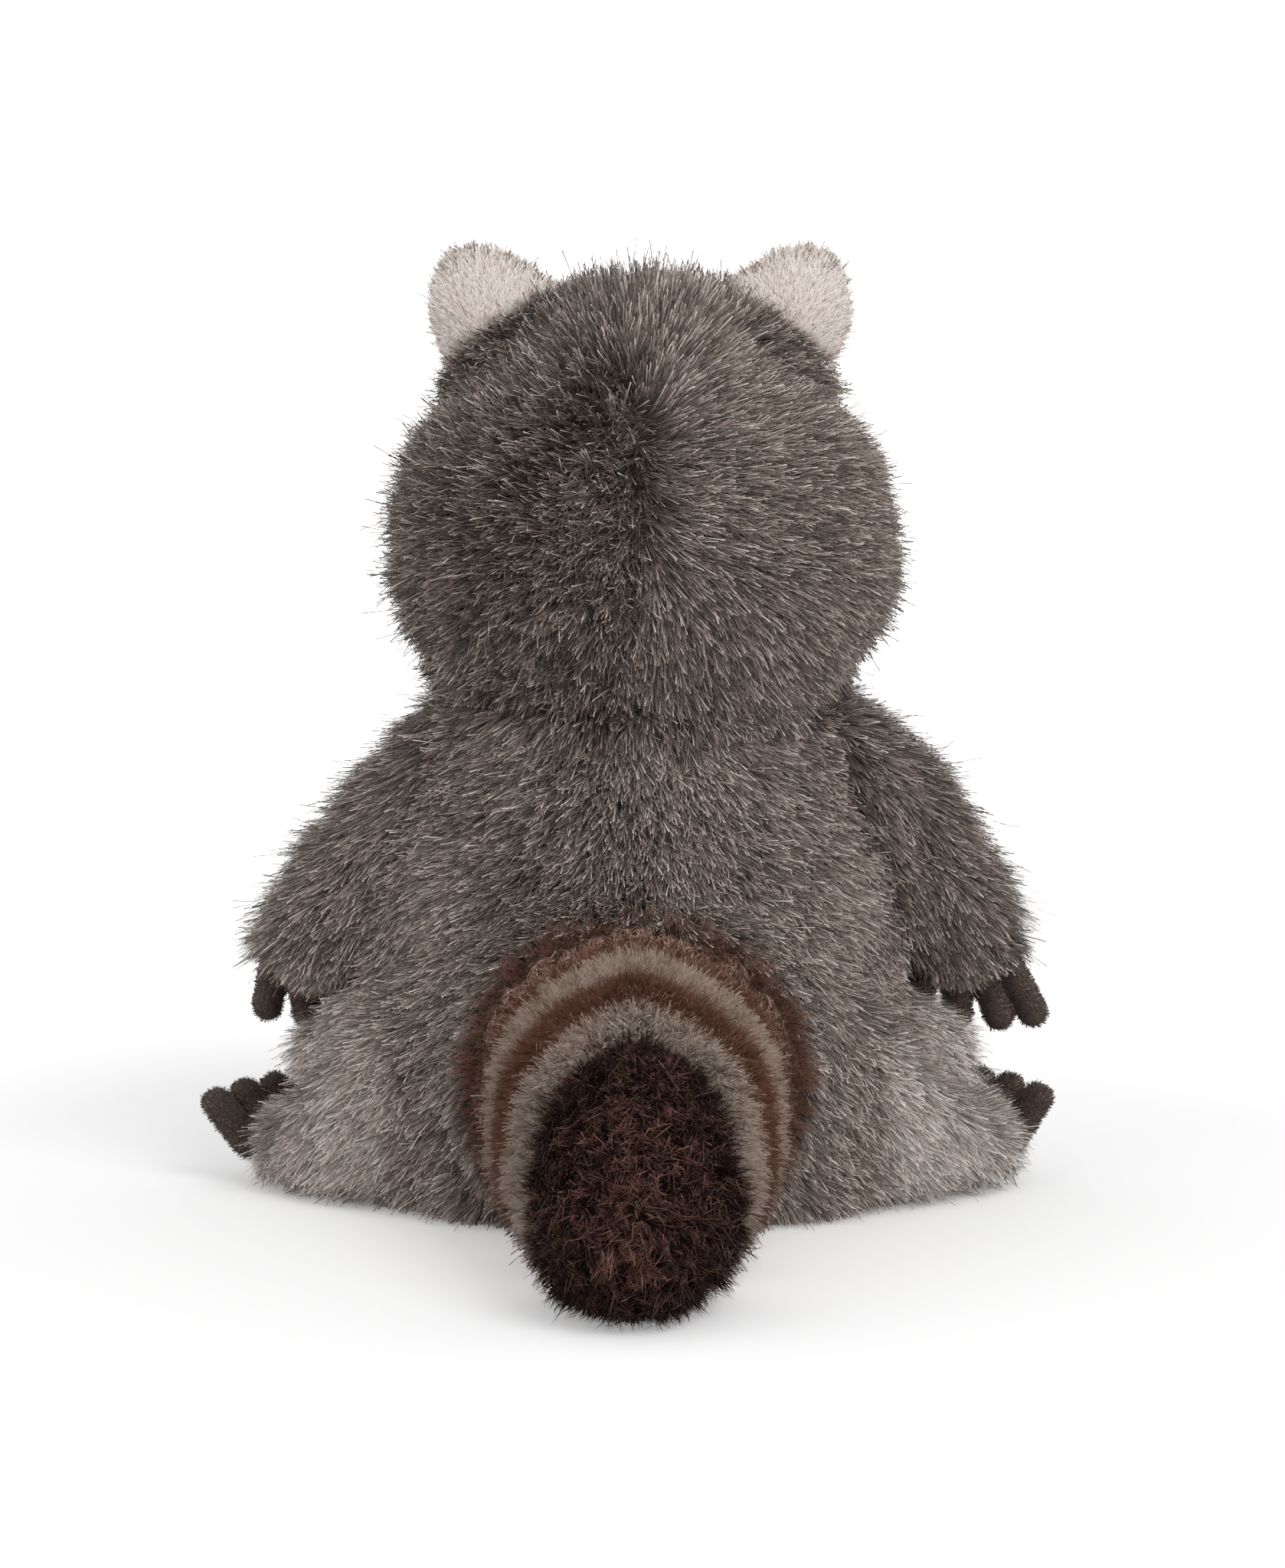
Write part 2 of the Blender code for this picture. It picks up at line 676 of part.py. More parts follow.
def tail_tip_mesh(start):
    shell = bmesh.new()
    bmesh.ops.create_uvsphere(shell, u_segments=TAIL_FACETS, v_segments=TIP_RINGS, radius=1.0)
    bmesh.ops.bisect_plane(shell, geom=shell.verts[:] + shell.edges[:] + shell.faces[:],
                           plane_co=(0, 0, 0), plane_no=(0, 0, -1), dist=1e-6, clear_outer=True)
    bmesh.ops.holes_fill(shell, edges=[edge for edge in shell.edges if edge.is_boundary])
    tip_at = smooth_rows(TAIL_TIP_PROFILE)
    for corner in shell.verts:
        unit = corner.co.copy()
        across, over = around(unit)
        middle, half_width, half_height = tip_at(unit.z)
        reach = rounding(unit.z, TAIL_TIP_ROUNDING)
        place = start + CLEARANCE / 2 + unit.z * TAIL_TIP_LENGTH
        corner.co = Vector((-across * half_width * reach, place, middle + over * half_height * reach))
    return finish_mesh(shell, 0.0, True, "tail_tip")


# Cutters shared by several pieces

torso_cutter = add_cutter("torso", torso_mesh(CLEARANCE))
head_cutter = add_cutter("head", head_mesh(CLEARANCE))
torso_core = add_cutter("torso_core", torso_mesh(-PANEL_DEPTH))
head_core = add_cutter("head_core", head_mesh(-PANEL_DEPTH))
torso_pocket_floor = add_cutter("torso_pocket_floor", torso_mesh(-PANEL_DEPTH - CLEARANCE))
head_pocket_floor = add_cutter("head_pocket_floor", head_mesh(-PANEL_DEPTH - CLEARANCE))

# Torso with the belly panel set into it

belly_outline = (BELLY_HALF_WIDTH, BELLY_HALF_HEIGHT, (0.0, BELLY_CENTRE_HEIGHT), BELLY_SQUARENESS)
belly_window = add_cutter("belly_window", front_prism("belly", *belly_outline))
belly_pocket = add_cutter("belly_pocket", front_prism("belly", *belly_outline, grow=CLEARANCE))
combine(belly_pocket, "DIFFERENCE", torso_pocket_floor)

torso = add_piece("torso", torso_mesh(), "grey_plush")
combine(torso, "DIFFERENCE", head_cutter, belly_pocket)
belly_panel = add_piece("belly_panel", torso_mesh(), "belly_plush")
combine(belly_panel, "INTERSECT", belly_window)
combine(belly_panel, "DIFFERENCE", torso_core)

# Head with the face panel and the masks set into it

face_window = add_cutter("face_window", face_prism())
face_pocket = add_cutter("face_pocket", face_prism(CLEARANCE))
combine(face_pocket, "DIFFERENCE", head_pocket_floor)

head = add_piece("head", head_mesh(), "grey_plush")
combine(head, "DIFFERENCE", face_pocket)
face_panel = add_piece("face_panel", head_mesh(), "cream_plush")
combine(face_panel, "INTERSECT", face_window)
combine(face_panel, "DIFFERENCE", head_core)

for name, sign in SIDES.items():
    mask_hole = add_cutter("mask_hole_" + name, mask_prism(sign, CLEARANCE))
    mask_window = add_cutter("mask_window_" + name, mask_prism(sign))
    combine(face_panel, "DIFFERENCE", mask_hole)

    place = eye_place(sign)
    eye_cutter = add_cutter("eye_seat_" + name, turned_mesh("eye_seat", eye_seat_profile(), place))
    mask = add_piece("mask_" + name, head_mesh(), "dark_brown_plush")
    combine(mask, "INTERSECT", mask_window)
    combine(mask, "DIFFERENCE", head_core, eye_cutter)
    combine(head, "DIFFERENCE", eye_cutter)
    add_piece("eye_" + name, turned_mesh("eye", eye_profile(), place), "eye_plastic")
    add_piece("eye_washer_" + name, turned_mesh("washer", washer_profile(), place), "washer_plastic")

muzzle = add_piece("muzzle", soft_mesh("muzzle", muzzle_shape, LIMB_FACETS), "cream_plush")
muzzle_cutter = add_cutter("muzzle", soft_mesh("muzzle", muzzle_shape, LIMB_FACETS, CLEARANCE))
combine(muzzle, "DIFFERENCE", head_cutter)
nose = add_piece("nose", soft_mesh("nose", nose_shape, SMALL_FACETS), "suede")
combine(nose, "DIFFERENCE", muzzle_cutter)

# Ears: a backing and the lining in its cup

lining_half = LINING_THICKNESS / 2
lining_forward = EAR_HALF_THICKNESS - lining_half + CLEARANCE
for name, sign in SIDES.items():
    lining_shape = ear_shape(sign, LINING_INSET, lining_forward, lining_half)
    lining_cutter = add_cutter("lining_" + name,
                               soft_mesh("lining", lining_shape, LIMB_FACETS, CLEARANCE))
    ear_back = add_piece("ear_back_" + name, soft_mesh("ear", ear_shape(sign), LIMB_FACETS), "cream_plush")
    combine(ear_back, "DIFFERENCE", head_cutter, lining_cutter)
    lining = add_piece("ear_lining_" + name, soft_mesh("lining", lining_shape, LIMB_FACETS), "light_plush")
    combine(lining, "DIFFERENCE", head_cutter)

# Arms with the hands in their cuffs, and legs with the soles on their ends

for name, sign in SIDES.items():
    hand = add_piece("hand_" + name, hand_mesh(name), "suede")
    hand_cutter = add_cutter("hand_" + name, hand_mesh(name, CLEARANCE))
    arm = add_piece("arm_" + name, soft_mesh("arm", arm_shape(name), LIMB_FACETS), "grey_plush")
    arm_cutter = add_cutter("arm_" + name, soft_mesh("arm", arm_shape(name), LIMB_FACETS, CLEARANCE))
    combine(arm, "DIFFERENCE", torso_cutter, head_cutter, hand_cutter)

    foot = add_piece("foot_" + name, foot_mesh(name), "suede")
    foot_cutter = add_cutter("foot_" + name, foot_mesh(name, CLEARANCE))
    leg = add_piece("leg_" + name, soft_mesh("leg", leg_shape(sign), LIMB_FACETS, on_floor=True), "light_plush")
    combine(leg, "DIFFERENCE", torso_cutter, arm_cutter, hand_cutter, foot_cutter)

# Tail

seam = tail_root()
band_colours = ("brown_plush", "light_plush", "brown_plush", "light_plush")
for number, (length, colour) in enumerate(zip(TAIL_BAND_LENGTHS, band_colours), start=1):
    seams = TAIL_SEAMS[number - 1:number + 1]
    band = add_piece("tail_band_%d" % number, band_mesh("band", seam, length, *seams), colour)
    combine(band, "DIFFERENCE", torso_cutter)
    seam += length
add_piece("tail_tip", tail_tip_mesh(seam), "dark_brown_plush")
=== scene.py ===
# Plush raccoon seen from behind: long pile on stuffed pieces, suede hands and feet, soft studio light
import math

import bmesh
import bpy
import numpy as np
from mathutils import Matrix, Vector
from mathutils.bvhtree import BVHTree
from mathutils.kdtree import KDTree


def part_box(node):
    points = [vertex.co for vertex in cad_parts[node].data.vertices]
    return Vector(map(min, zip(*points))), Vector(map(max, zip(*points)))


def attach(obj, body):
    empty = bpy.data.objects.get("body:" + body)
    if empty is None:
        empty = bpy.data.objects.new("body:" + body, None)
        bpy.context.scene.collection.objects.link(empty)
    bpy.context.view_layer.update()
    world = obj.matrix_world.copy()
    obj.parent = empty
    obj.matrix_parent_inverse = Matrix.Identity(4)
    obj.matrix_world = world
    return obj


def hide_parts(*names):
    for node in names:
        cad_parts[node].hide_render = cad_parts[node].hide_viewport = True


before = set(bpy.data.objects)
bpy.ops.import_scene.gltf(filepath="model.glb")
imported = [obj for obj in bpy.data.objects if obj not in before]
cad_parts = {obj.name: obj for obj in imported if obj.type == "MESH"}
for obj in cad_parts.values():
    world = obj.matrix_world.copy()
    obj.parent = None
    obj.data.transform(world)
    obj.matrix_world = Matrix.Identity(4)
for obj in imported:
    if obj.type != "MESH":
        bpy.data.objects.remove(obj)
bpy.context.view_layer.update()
scene = bpy.context.scene
sides = {"left": 1.0, "right": -1.0}  # the toy's own left is +X


# Camera: behind the toy and a little above it

camera = {
    "aim": (-0.0016, 0.0, 0.0989),
    "distance": 1.5,
    "elevation": 7.5,
    "lens": 146.48,
}


def addCamera():
    lens = bpy.data.cameras.new("camera")
    lens.lens = camera["lens"]
    lens.sensor_width = 36.0
    lens.clip_start = 0.05
    lens.clip_end = 50.0
    eye = bpy.data.objects.new("camera", lens)
    rise = math.radians(camera["elevation"])
    back = Vector((0.0, math.cos(rise), math.sin(rise)))
    eye.location = Vector(camera["aim"]) + back * camera["distance"]
    eye.rotation_mode = "QUATERNION"
    eye.rotation_quaternion = (-back).to_track_quat("-Z", "Y")
    scene.collection.objects.link(eye)
    scene.camera = eye


addCamera()
print("camera set")


# Material nodes

def newMaterial(name):
    material = bpy.data.materials.new(name)
    material.use_nodes = True
    nodes = material.node_tree.nodes
    return material, nodes, material.node_tree.links, nodes["Principled BSDF"]


def addRamp(nodes, stops):
    ramp = nodes.new("ShaderNodeValToRGB")
    while len(ramp.color_ramp.elements) < len(stops):
        ramp.color_ramp.elements.new(0.5)
    for element, (place, colour) in zip(ramp.color_ramp.elements, stops):
        element.position = place
        element.color = (*colour, 1.0)
    return ramp


def addMultiply(nodes, links, first, second):
    mix = nodes.new("ShaderNodeMix")
    mix.data_type = "RGBA"
    mix.blend_type = "MULTIPLY"
    mix.inputs[0].default_value = 1.0
    links.new(first, mix.inputs[6])
    links.new(second, mix.inputs[7])
    return mix.outputs[2]


def addNoise(nodes, links, coords, scale, detail=3.0, stretch=(1.0, 1.0, 1.0)):
    mapping = nodes.new("ShaderNodeMapping")
    mapping.inputs["Scale"].default_value = stretch
    links.new(coords, mapping.inputs["Vector"])
    noise = nodes.new("ShaderNodeTexNoise")
    noise.inputs["Scale"].default_value = scale
    noise.inputs["Detail"].default_value = detail
    links.new(mapping.outputs[0], noise.inputs["Vector"])
    return noise.outputs[0]


def pileMaterial(name, tones, paintedRootShade, sheen):
    # Across the strand's own map lies its tone, and up the map its length from root to tip
    material, nodes, links, shader = newMaterial(name)
    strandMap = nodes.new("ShaderNodeUVMap")
    strandMap.uv_map = "OFBake"
    parts = nodes.new("ShaderNodeSeparateXYZ")
    links.new(strandMap.outputs[0], parts.inputs[0])
    tone = addRamp(nodes, tones)
    links.new(parts.outputs[0], tone.inputs[0])
    along = nodes.new("ShaderNodeMapRange")
    along.inputs["From Min"].default_value = strandUv["root"]
    along.inputs["From Max"].default_value = strandUv["tip"]
    links.new(parts.outputs[1], along.inputs["Value"])
    # Painted shade: the colour falls off from tip to root, standing in for the shadow deep in the pile
    halfway = 0.35 + 0.65 * paintedRootShade
    depth = addRamp(nodes, [(0.0, (paintedRootShade,) * 3), (0.5, (halfway,) * 3), (1.0, (1.0,) * 3)])
    links.new(along.outputs[0], depth.inputs[0])
    links.new(addMultiply(nodes, links, tone.outputs[0], depth.outputs[0]), shader.inputs["Base Color"])
    shader.inputs["Roughness"].default_value = 0.7
    shader.inputs["Specular IOR Level"].default_value = 0.25
    shader.inputs["Sheen Weight"].default_value = sheen
    shader.inputs["Sheen Roughness"].default_value = 0.5
    return material


def clothMaterial(name, dark, light, grain, bump, roughness=0.9, sheen=0.1):
    # The woven ground under the pile, or a short napped cloth
    material, nodes, links, shader = newMaterial(name)
    coords = nodes.new("ShaderNodeTexCoord").outputs["Object"]
    patches = addNoise(nodes, links, coords, 60.0, 4.0)
    fine = addNoise(nodes, links, coords, grain, 2.0)
    blend = nodes.new("ShaderNodeMath")
    blend.operation = "MULTIPLY_ADD"
    blend.inputs[1].default_value = 0.6
    links.new(fine, blend.inputs[0])
    half = nodes.new("ShaderNodeMath")
    half.operation = "MULTIPLY"
    half.inputs[1].default_value = 0.4
    links.new(patches, half.inputs[0])
    links.new(half.outputs[0], blend.inputs[2])
    ramp = addRamp(nodes, [(0.36, dark), (0.64, light)])
    links.new(blend.outputs[0], ramp.inputs[0])
    links.new(ramp.outputs[0], shader.inputs["Base Color"])
    relief = nodes.new("ShaderNodeBump")
    relief.inputs["Distance"].default_value = bump
    relief.inputs["Strength"].default_value = 0.8
    links.new(fine, relief.inputs["Height"])
    links.new(relief.outputs[0], shader.inputs["Normal"])
    shader.inputs["Roughness"].default_value = roughness
    shader.inputs["Specular IOR Level"].default_value = 0.2
    shader.inputs["Sheen Weight"].default_value = sheen
    shader.inputs["Sheen Roughness"].default_value = 0.6
    return material


# Stuffed pieces, made from copies of the CAD solids

def addPiece(name, mesh, material, replaced=()):
    piece = bpy.data.objects.new(name, mesh)
    scene.collection.objects.link(piece)
    mesh.materials.clear()
    mesh.materials.append(material)
    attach(piece, "root")
    if replaced:
        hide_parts(*replaced)
    return piece


def joinedCopy(nodeNames):
    joined = bmesh.new()
    for nodeName in nodeNames:
        joined.from_mesh(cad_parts[nodeName].data)
    bmesh.ops.remove_doubles(joined, verts=joined.verts, dist=1e-6)
    return joined


def treeOf(nodeNames):
    joined = joinedCopy(nodeNames)
    tree = BVHTree.FromBMesh(joined)
    joined.free()
    return tree


def remeshed(joined, cell, rounds):
    # One closed, evenly meshed skin round the joined forms
    mesh = bpy.data.meshes.new("joined")
    joined.to_mesh(mesh)
    joined.free()
    helper = bpy.data.objects.new("helper", mesh)
    scene.collection.objects.link(helper)
    voxels = helper.modifiers.new("voxels", "REMESH")
    voxels.mode = "VOXEL"
    voxels.voxel_size = cell
    relax = helper.modifiers.new("relax", "SMOOTH")
    relax.factor = 0.5
    relax.iterations = rounds
    result = bpy.data.meshes.new_from_object(helper.evaluated_get(bpy.context.evaluated_depsgraph_get()))
    bpy.data.objects.remove(helper)
    bpy.data.meshes.remove(mesh)
    return result


def meshArrays(mesh):
    places = np.empty(len(mesh.vertices) * 3)
    mesh.vertices.foreach_get("co", places)
    normals = np.empty(len(mesh.vertices) * 3)
    mesh.vertices.foreach_get("normal", normals)
    mesh.calc_loop_triangles()
    triangles = np.empty(len(mesh.loop_triangles) * 3, dtype=np.int32)
    mesh.loop_triangles.foreach_get("vertices", triangles)
    return places.reshape(-1, 3), normals.reshape(-1, 3), triangles.reshape(-1, 3)


skin = {
    "reach": 0.03,  # neighbours are looked for this far away
    "contact": 0.0012,  # a neighbour as near as this holds the cloth where it is
    "floorContact": 0.0015,
    "floorGap": 0.0006,
}


def stuffedSkin(nodeNames, inset, cell=0.003, rounds=4, fadeOver=0.006):
    return drawnIn(remeshed(joinedCopy(nodeNames), cell, rounds), nodeNames, inset, fadeOver)


def drawnIn(mesh, nodeNames, inset, fadeOver):
    # The cloth lies under the pile: drawn in where it is free, and left where it meets a neighbour.
    # It keeps in its vertices how free it is there
    places, normals, _ = meshArrays(mesh)
    others = [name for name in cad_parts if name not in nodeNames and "washer" not in name]
    neighbours = treeOf(others)
    free = np.ones(len(places))
    for index, place in enumerate(places):
        distance = neighbours.find_nearest(Vector(place), skin["reach"])[3]
        if distance is not None:
            free[index] = min(1.0, max(0.0, (distance - skin["contact"]) / fadeOver))
    depth = inset(places) if callable(inset) else np.full(len(places), inset)
    moved = places - normals * (depth * free)[:, None]
    onFloor = places[:, 2] < skin["floorContact"]
    moved[:, 2] = np.where(onFloor, skin["floorGap"], np.maximum(moved[:, 2], skin["floorGap"]))
    mesh.vertices.foreach_set("co", moved.ravel())
    openness = mesh.attributes.new("openness", "FLOAT", "POINT")
    openness.data.foreach_set("value", free)
    mesh.update()
    mesh.shade_smooth()
    return mesh


def skinPart(mesh, keptFaces=None, between=None):
    # The part of a skin that keptFaces picks, or that lies between two places along Y
    part = bmesh.new()
    part.from_mesh(mesh)
    if keptFaces is not None:
        bmesh.ops.delete(part, geom=[face for face, kept in zip(part.faces[:], keptFaces) if not kept],
                         context="FACES")
    if between is not None:
        for level, outward in zip(between, (-1, 1)):
            bmesh.ops.bisect_plane(part, geom=part.verts[:] + part.edges[:] + part.faces[:], dist=1e-6,
                                   plane_co=(0, level, 0), plane_no=(0, outward, 0), clear_outer=True)
    bmesh.ops.triangulate(part, faces=part.faces)
    result = bpy.data.meshes.new("skin")
    part.to_mesh(result)
    part.free()
    result.shade_smooth()
    return result


def closedCloth(mesh):
    # The ground cloth of a part, closed where the part was cut off
    cloth = bmesh.new()
    cloth.from_mesh(mesh)
    bmesh.ops.holes_fill(cloth, edges=[edge for edge in cloth.edges if edge.is_boundary])
    bmesh.ops.recalc_face_normals(cloth, faces=cloth.faces)
    result = bpy.data.meshes.new("cloth")
    cloth.to_mesh(result)
    cloth.free()
    result.shade_smooth()
    return result


# Pile: a strand is one long thin triangle, or two where it bends, and the strands of a lock lean together

strandUv = {
    "root": 0.02,
    "tip": 0.11,
    "halfWidth": 0.0011,
}
strand = {
    "leastOpen": 0.004,  # no strand grows where the cloth is less free than this, and 1 is wholly free
    "sink": 0.0004,  # the root starts this far under the cloth
    "lift": (0.08, 1.55),
    "lockWeight": 1.4,
    "lengthSpread": 0.12,
    "lengthRange": (0.5, 1.5),
    "strayLength": 1.35,
    "bendAt": 0.48,
    "widthRange": (0.7, 1.3),
    "floorGap": 0.0003,
    "underneath": 0.002,  # cloth lower than this that faces the floor is bare
    "toneRange": (0.03, 0.97),
}


def unit(vectors):
    return vectors / np.maximum(np.linalg.norm(vectors, axis=1), 1e-9)[:, None]


def rising(values, start, over):
    # From 0 at start to 1 further on by over, which is negative where it rises the other way
    return np.clip((values - start) / over, 0.0, 1.0)


def bell(values, middle, reach):
    return np.exp(-((values - middle) / reach) ** 2)


def perPlace(places, x, y, z):
    # One row of x, y and z for each place, where each is an array or a single number
    return np.stack([np.broadcast_to(part, len(places)) for part in (x, y, z)], axis=1)


def drift(places, reach, seed):
    # A slow wander between about -1 and 1 over a piece
    rng = np.random.default_rng(seed)
    total = np.zeros(len(places))
    for octave in range(5):
        direction = rng.normal(size=3)
        direction /= np.linalg.norm(direction)
        waves = places @ direction * (2 * math.pi / reach) * (1.0 + 0.35 * octave)
        total += np.sin(waves + rng.uniform(0, 6.3))
    return total / 2.6


def scatterOn(mesh, perArea, rng, keep=None):
    places, normals, triangles = meshArrays(mesh)
    free = np.empty(len(places))
    mesh.attributes["openness"].data.foreach_get("value", free)
    a, b, c = (places[triangles[:, k]] for k in range(3))
    areas = np.linalg.norm(np.cross(b - a, c - a), axis=1) / 2
    count = int(areas.sum() * perArea)
    picks = np.searchsorted(np.cumsum(areas) / areas.sum(), rng.random(count)).clip(0, len(triangles) - 1)
    r = np.sqrt(rng.random(count))
    s = rng.random(count)
    weights = np.stack([1 - r, r * (1 - s), r * s], axis=1)
    corners = triangles[picks]
    roots = (places[corners] * weights[:, :, None]).sum(1)
    ups = unit((normals[corners] * weights[:, :, None]).sum(1))
    opened = (free[corners] * weights).sum(1)
    underneath = (roots[:, 2] < strand["underneath"]) & (ups[:, 2] < -0.8)
    kept = (opened > strand["leastOpen"]) & ~underneath
    if keep is not None:
        kept &= rng.random(count) < keep(roots, ups)
    return roots[kept], ups[kept], opened[kept]


def growPile(name, mesh, coat, comb, material, keep=None, toneAt=None, replaced=()):
    # comb gives, for each root, the way the pile lies, how far it stands up and its length
    rng = np.random.default_rng(coat["seed"])
    roots, ups, opened = scatterOn(mesh, coat["perArea"], rng, keep)
    count = len(roots)
    flow, lift, lengths = comb(roots, ups)
    lift, lengths = np.broadcast_to(lift, count), np.broadcast_to(lengths, count)
    flow = unit(flow - ups * (flow * ups).sum(1)[:, None])

    lockCount = max(8, int(count / coat["perLock"]))
    heads = rng.choice(count, lockCount, replace=False)
    tree = KDTree(lockCount)
    for index, chosen in enumerate(heads):
        tree.insert(roots[chosen], index)
    tree.balance()
    lock = np.fromiter((tree.find(root)[1] for root in roots), dtype=np.int64, count=count)

    def leaning(index, spread, sweep):
        # Directions with some scatter about the comb
        side = np.cross(ups[index], flow[index])
        turn = rng.normal(0.0, sweep, len(index))[:, None]
        along = flow[index] * np.cos(turn) + side * np.sin(turn)
        raised = np.clip(lift[index] + rng.normal(0.0, spread, len(index)), *strand["lift"])[:, None]
        return unit(along * np.cos(raised) + ups[index] * np.sin(raised))

    everyStrand = np.arange(count)
    lockLean = leaning(heads, coat["lockSpread"], coat["lockSweep"])
    ownLean = leaning(everyStrand, coat["spread"], coat["sweep"])
    lean = unit(lockLean[lock] * strand["lockWeight"] + ownLean)
    lockLength = rng.normal(1.0, coat["lockLength"], lockCount)
    ownLength = lockLength[lock] * rng.normal(1.0, strand["lengthSpread"], count)
    length = lengths * (0.75 + 0.25 * opened) * np.clip(ownLength, *strand["lengthRange"])
    strays = rng.random(count) < coat["strays"]
    length = np.where(strays, length * strand["strayLength"], length)

    pull = np.where(strays, 0.0, coat["pull"])[:, None]
    tips = roots + lean * length[:, None]
    lockTips = roots[heads][lock] + lockLean[lock] * (length * 1.02)[:, None]
    tips = tips * (1 - pull) + lockTips * pull
    middles = roots + (tips - roots) * strand["bendAt"] + ups * (length * coat["arch"])[:, None]
    if coat["curl"]:
        middles += rng.normal(0.0, coat["curl"], (count, 3)) * length[:, None]
        tips += rng.normal(0.0, coat["curl"], (count, 3)) * length[:, None]
    starts = roots - ups * strand["sink"]

    # The strand's flat side is turned outwards, give or take
    along = unit(tips - starts)
    side = unit(np.cross(along, ups) + rng.normal(0.0, 1e-3, (count, 3)))
    other = np.cross(along, side)
    roll = rng.uniform(-coat["roll"], coat["roll"], count)[:, None]
    across = side * np.cos(roll) + other * np.sin(roll)
    facing = (np.cross(along, across) * ups).sum(1)
    across = np.where(facing[:, None] < 0, -across, across)
    width = (coat["width"] * rng.uniform(*strand["widthRange"], count))[:, None] / 2
    if coat["bent"]:
        corners = np.stack([starts, middles - across * width, middles + across * width, tips], axis=1)
        bend = strand["bendAt"]
        order, sideways, upwards = [0, 1, 2, 1, 3, 2], [0, -1, 1, 0], [0, bend, bend, 1]
    else:
        # Some strands run to a point, and the others widen to a cut end
        cut = (rng.random(count) < coat["cutEnds"])[:, None]
        pointed = [starts + across * width, starts - across * width, tips]
        widening = [tips - across * width, tips + across * width, starts]
        corners = np.stack([np.where(cut, b, a) for a, b in zip(pointed, widening)], axis=1)
        order, sideways, upwards = [0, 1, 2], [1, -1, 0], np.where(cut, [1, 1, 0], [0, 0, 1])
    corners[:, :, 2] = np.maximum(corners[:, :, 2], strand["floorGap"])

    tone = 0.5 + rng.normal(0.0, coat["toneLock"], lockCount)[lock]
    tone += rng.normal(0.0, coat["toneStrand"], count)
    tone += coat["toneDrift"] * drift(roots, 0.022, coat["seed"] + 1)
    if toneAt is not None:
        tone += toneAt(roots, ups)
    tone = np.clip(tone, *strand["toneRange"])
    u = tone[:, None] + np.array(sideways) * strandUv["halfWidth"]
    v = np.broadcast_to(strandUv["root"] + np.array(upwards) * (strandUv["tip"] - strandUv["root"]), u.shape)

    pile = bpy.data.meshes.new(name)
    pile.vertices.add(corners.shape[0] * corners.shape[1])
    pile.vertices.foreach_set("co", corners.astype(np.float32).ravel())
    loops = (np.arange(count)[:, None] * corners.shape[1] + np.array(order)).astype(np.int32).ravel()
    pile.loops.add(len(loops))
    pile.loops.foreach_set("vertex_index", loops)
    pile.polygons.add(len(loops) // 3)
    pile.polygons.foreach_set("loop_start", np.arange(0, len(loops), 3, dtype=np.int32))
    layer = pile.uv_layers.new(name="OFBake")
    layer.data.foreach_set("uv", np.stack([u[:, order], v[:, order]], axis=2).astype(np.float32).ravel())
    pile.update(calc_edges=True)
    pile.shade_smooth()
    softened = unit(ups + coat["cardShare"] * unit(np.cross(along, across)) + coat["tipFacing"] * lean)
    softened = np.repeat(softened, corners.shape[1], axis=0)
    pile.normals_split_custom_set_from_vertices(softened.tolist())
    print("pile", name, count, "strands", len(pile.polygons), "triangles")
    return addPiece(name, pile, material, replaced)


# Finishes, with the pile's depth painted as shade on the strands' roots and on the ground cloth

pileTones = {
    "grey": [(0.0, (0.040, 0.028, 0.022)), (0.35, (0.230, 0.176, 0.146)), (0.7, (0.600, 0.490, 0.425)),
             (1.0, (0.930, 0.830, 0.755))],
    "pale": [(0.0, (0.190, 0.146, 0.122)), (0.4, (0.590, 0.495, 0.435)), (0.75, (0.880, 0.785, 0.715)),
             (1.0, (0.970, 0.910, 0.860))],
    "cream": [(0.0, (0.780, 0.620, 0.545)), (0.5, (0.975, 0.870, 0.800)), (1.0, (0.995, 0.950, 0.910))],
    "lightRing": [(0.0, (0.430, 0.335, 0.280)), (0.4, (0.900, 0.765, 0.680)), (1.0, (0.995, 0.945, 0.895))],
    "brownRing": [(0.0, (0.200, 0.094, 0.066)), (0.5, (0.500, 0.285, 0.205)), (1.0, (0.830, 0.630, 0.530))],
    "darkBrown": [(0.0, (0.024, 0.008, 0.006)), (0.5, (0.132, 0.050, 0.036)), (1.0, (0.400, 0.195, 0.142))],
}
paintedDepthAndSheen = {  # how dark the strands are painted at their roots, as shade of the pile's depth, and their sheen
    "grey": (0.13, 0.15),
    "pale": (0.34, 0.15),
    "cream": (0.92, 0.15),
    "darkBrown": (0.36, 0.03),
    "lightRing": (0.85, 0.15),
    "brownRing": (0.80, 0.15),
}
pileOf = {name: pileMaterial(name + "Pile", pileTones[name], *depthAndSheen) for name, depthAndSheen in paintedDepthAndSheen.items()}
weave = {"grain": 900.0, "bump": 0.0006}
fineWeave = {"grain": 1200.0, "bump": 0.0005}
# The ground cloth under each pile is real, but coloured about as dark as that pile's painted roots: painted
# shade of the gaps between the strands
groundTonesWithShade = {
    "grey": ((0.016, 0.011, 0.009), (0.055, 0.041, 0.034)),
    "pale": ((0.140, 0.108, 0.090), (0.300, 0.240, 0.205)),
    "lightRing": ((0.260, 0.210, 0.180), (0.450, 0.375, 0.330)),
    "cream": ((0.720, 0.600, 0.535), (0.880, 0.780, 0.715)),
    "brownRing": ((0.090, 0.046, 0.035), (0.200, 0.115, 0.088)),
    "darkBrown": ((0.006, 0.003, 0.002), (0.020, 0.010, 0.008)),
}
groundOf = {name: clothMaterial(name + "Ground", dark, light, **(fineWeave if name == "cream" else weave))
            for name, (dark, light) in groundTonesWithShade.items()}
suede = clothMaterial("suede", (0.036, 0.024, 0.019), (0.100, 0.071, 0.058), 2600.0, 0.00025, 0.95, 0.10)

# The nap's roots are painted darker, down to 0.60 of the tip, as shade of its depth
napPile = pileMaterial("suedeNap", [(0.0, (0.036, 0.023, 0.018)), (0.5, (0.165, 0.108, 0.085)),
                                    (1.0, (0.320, 0.250, 0.214))], 0.60, 0.05)

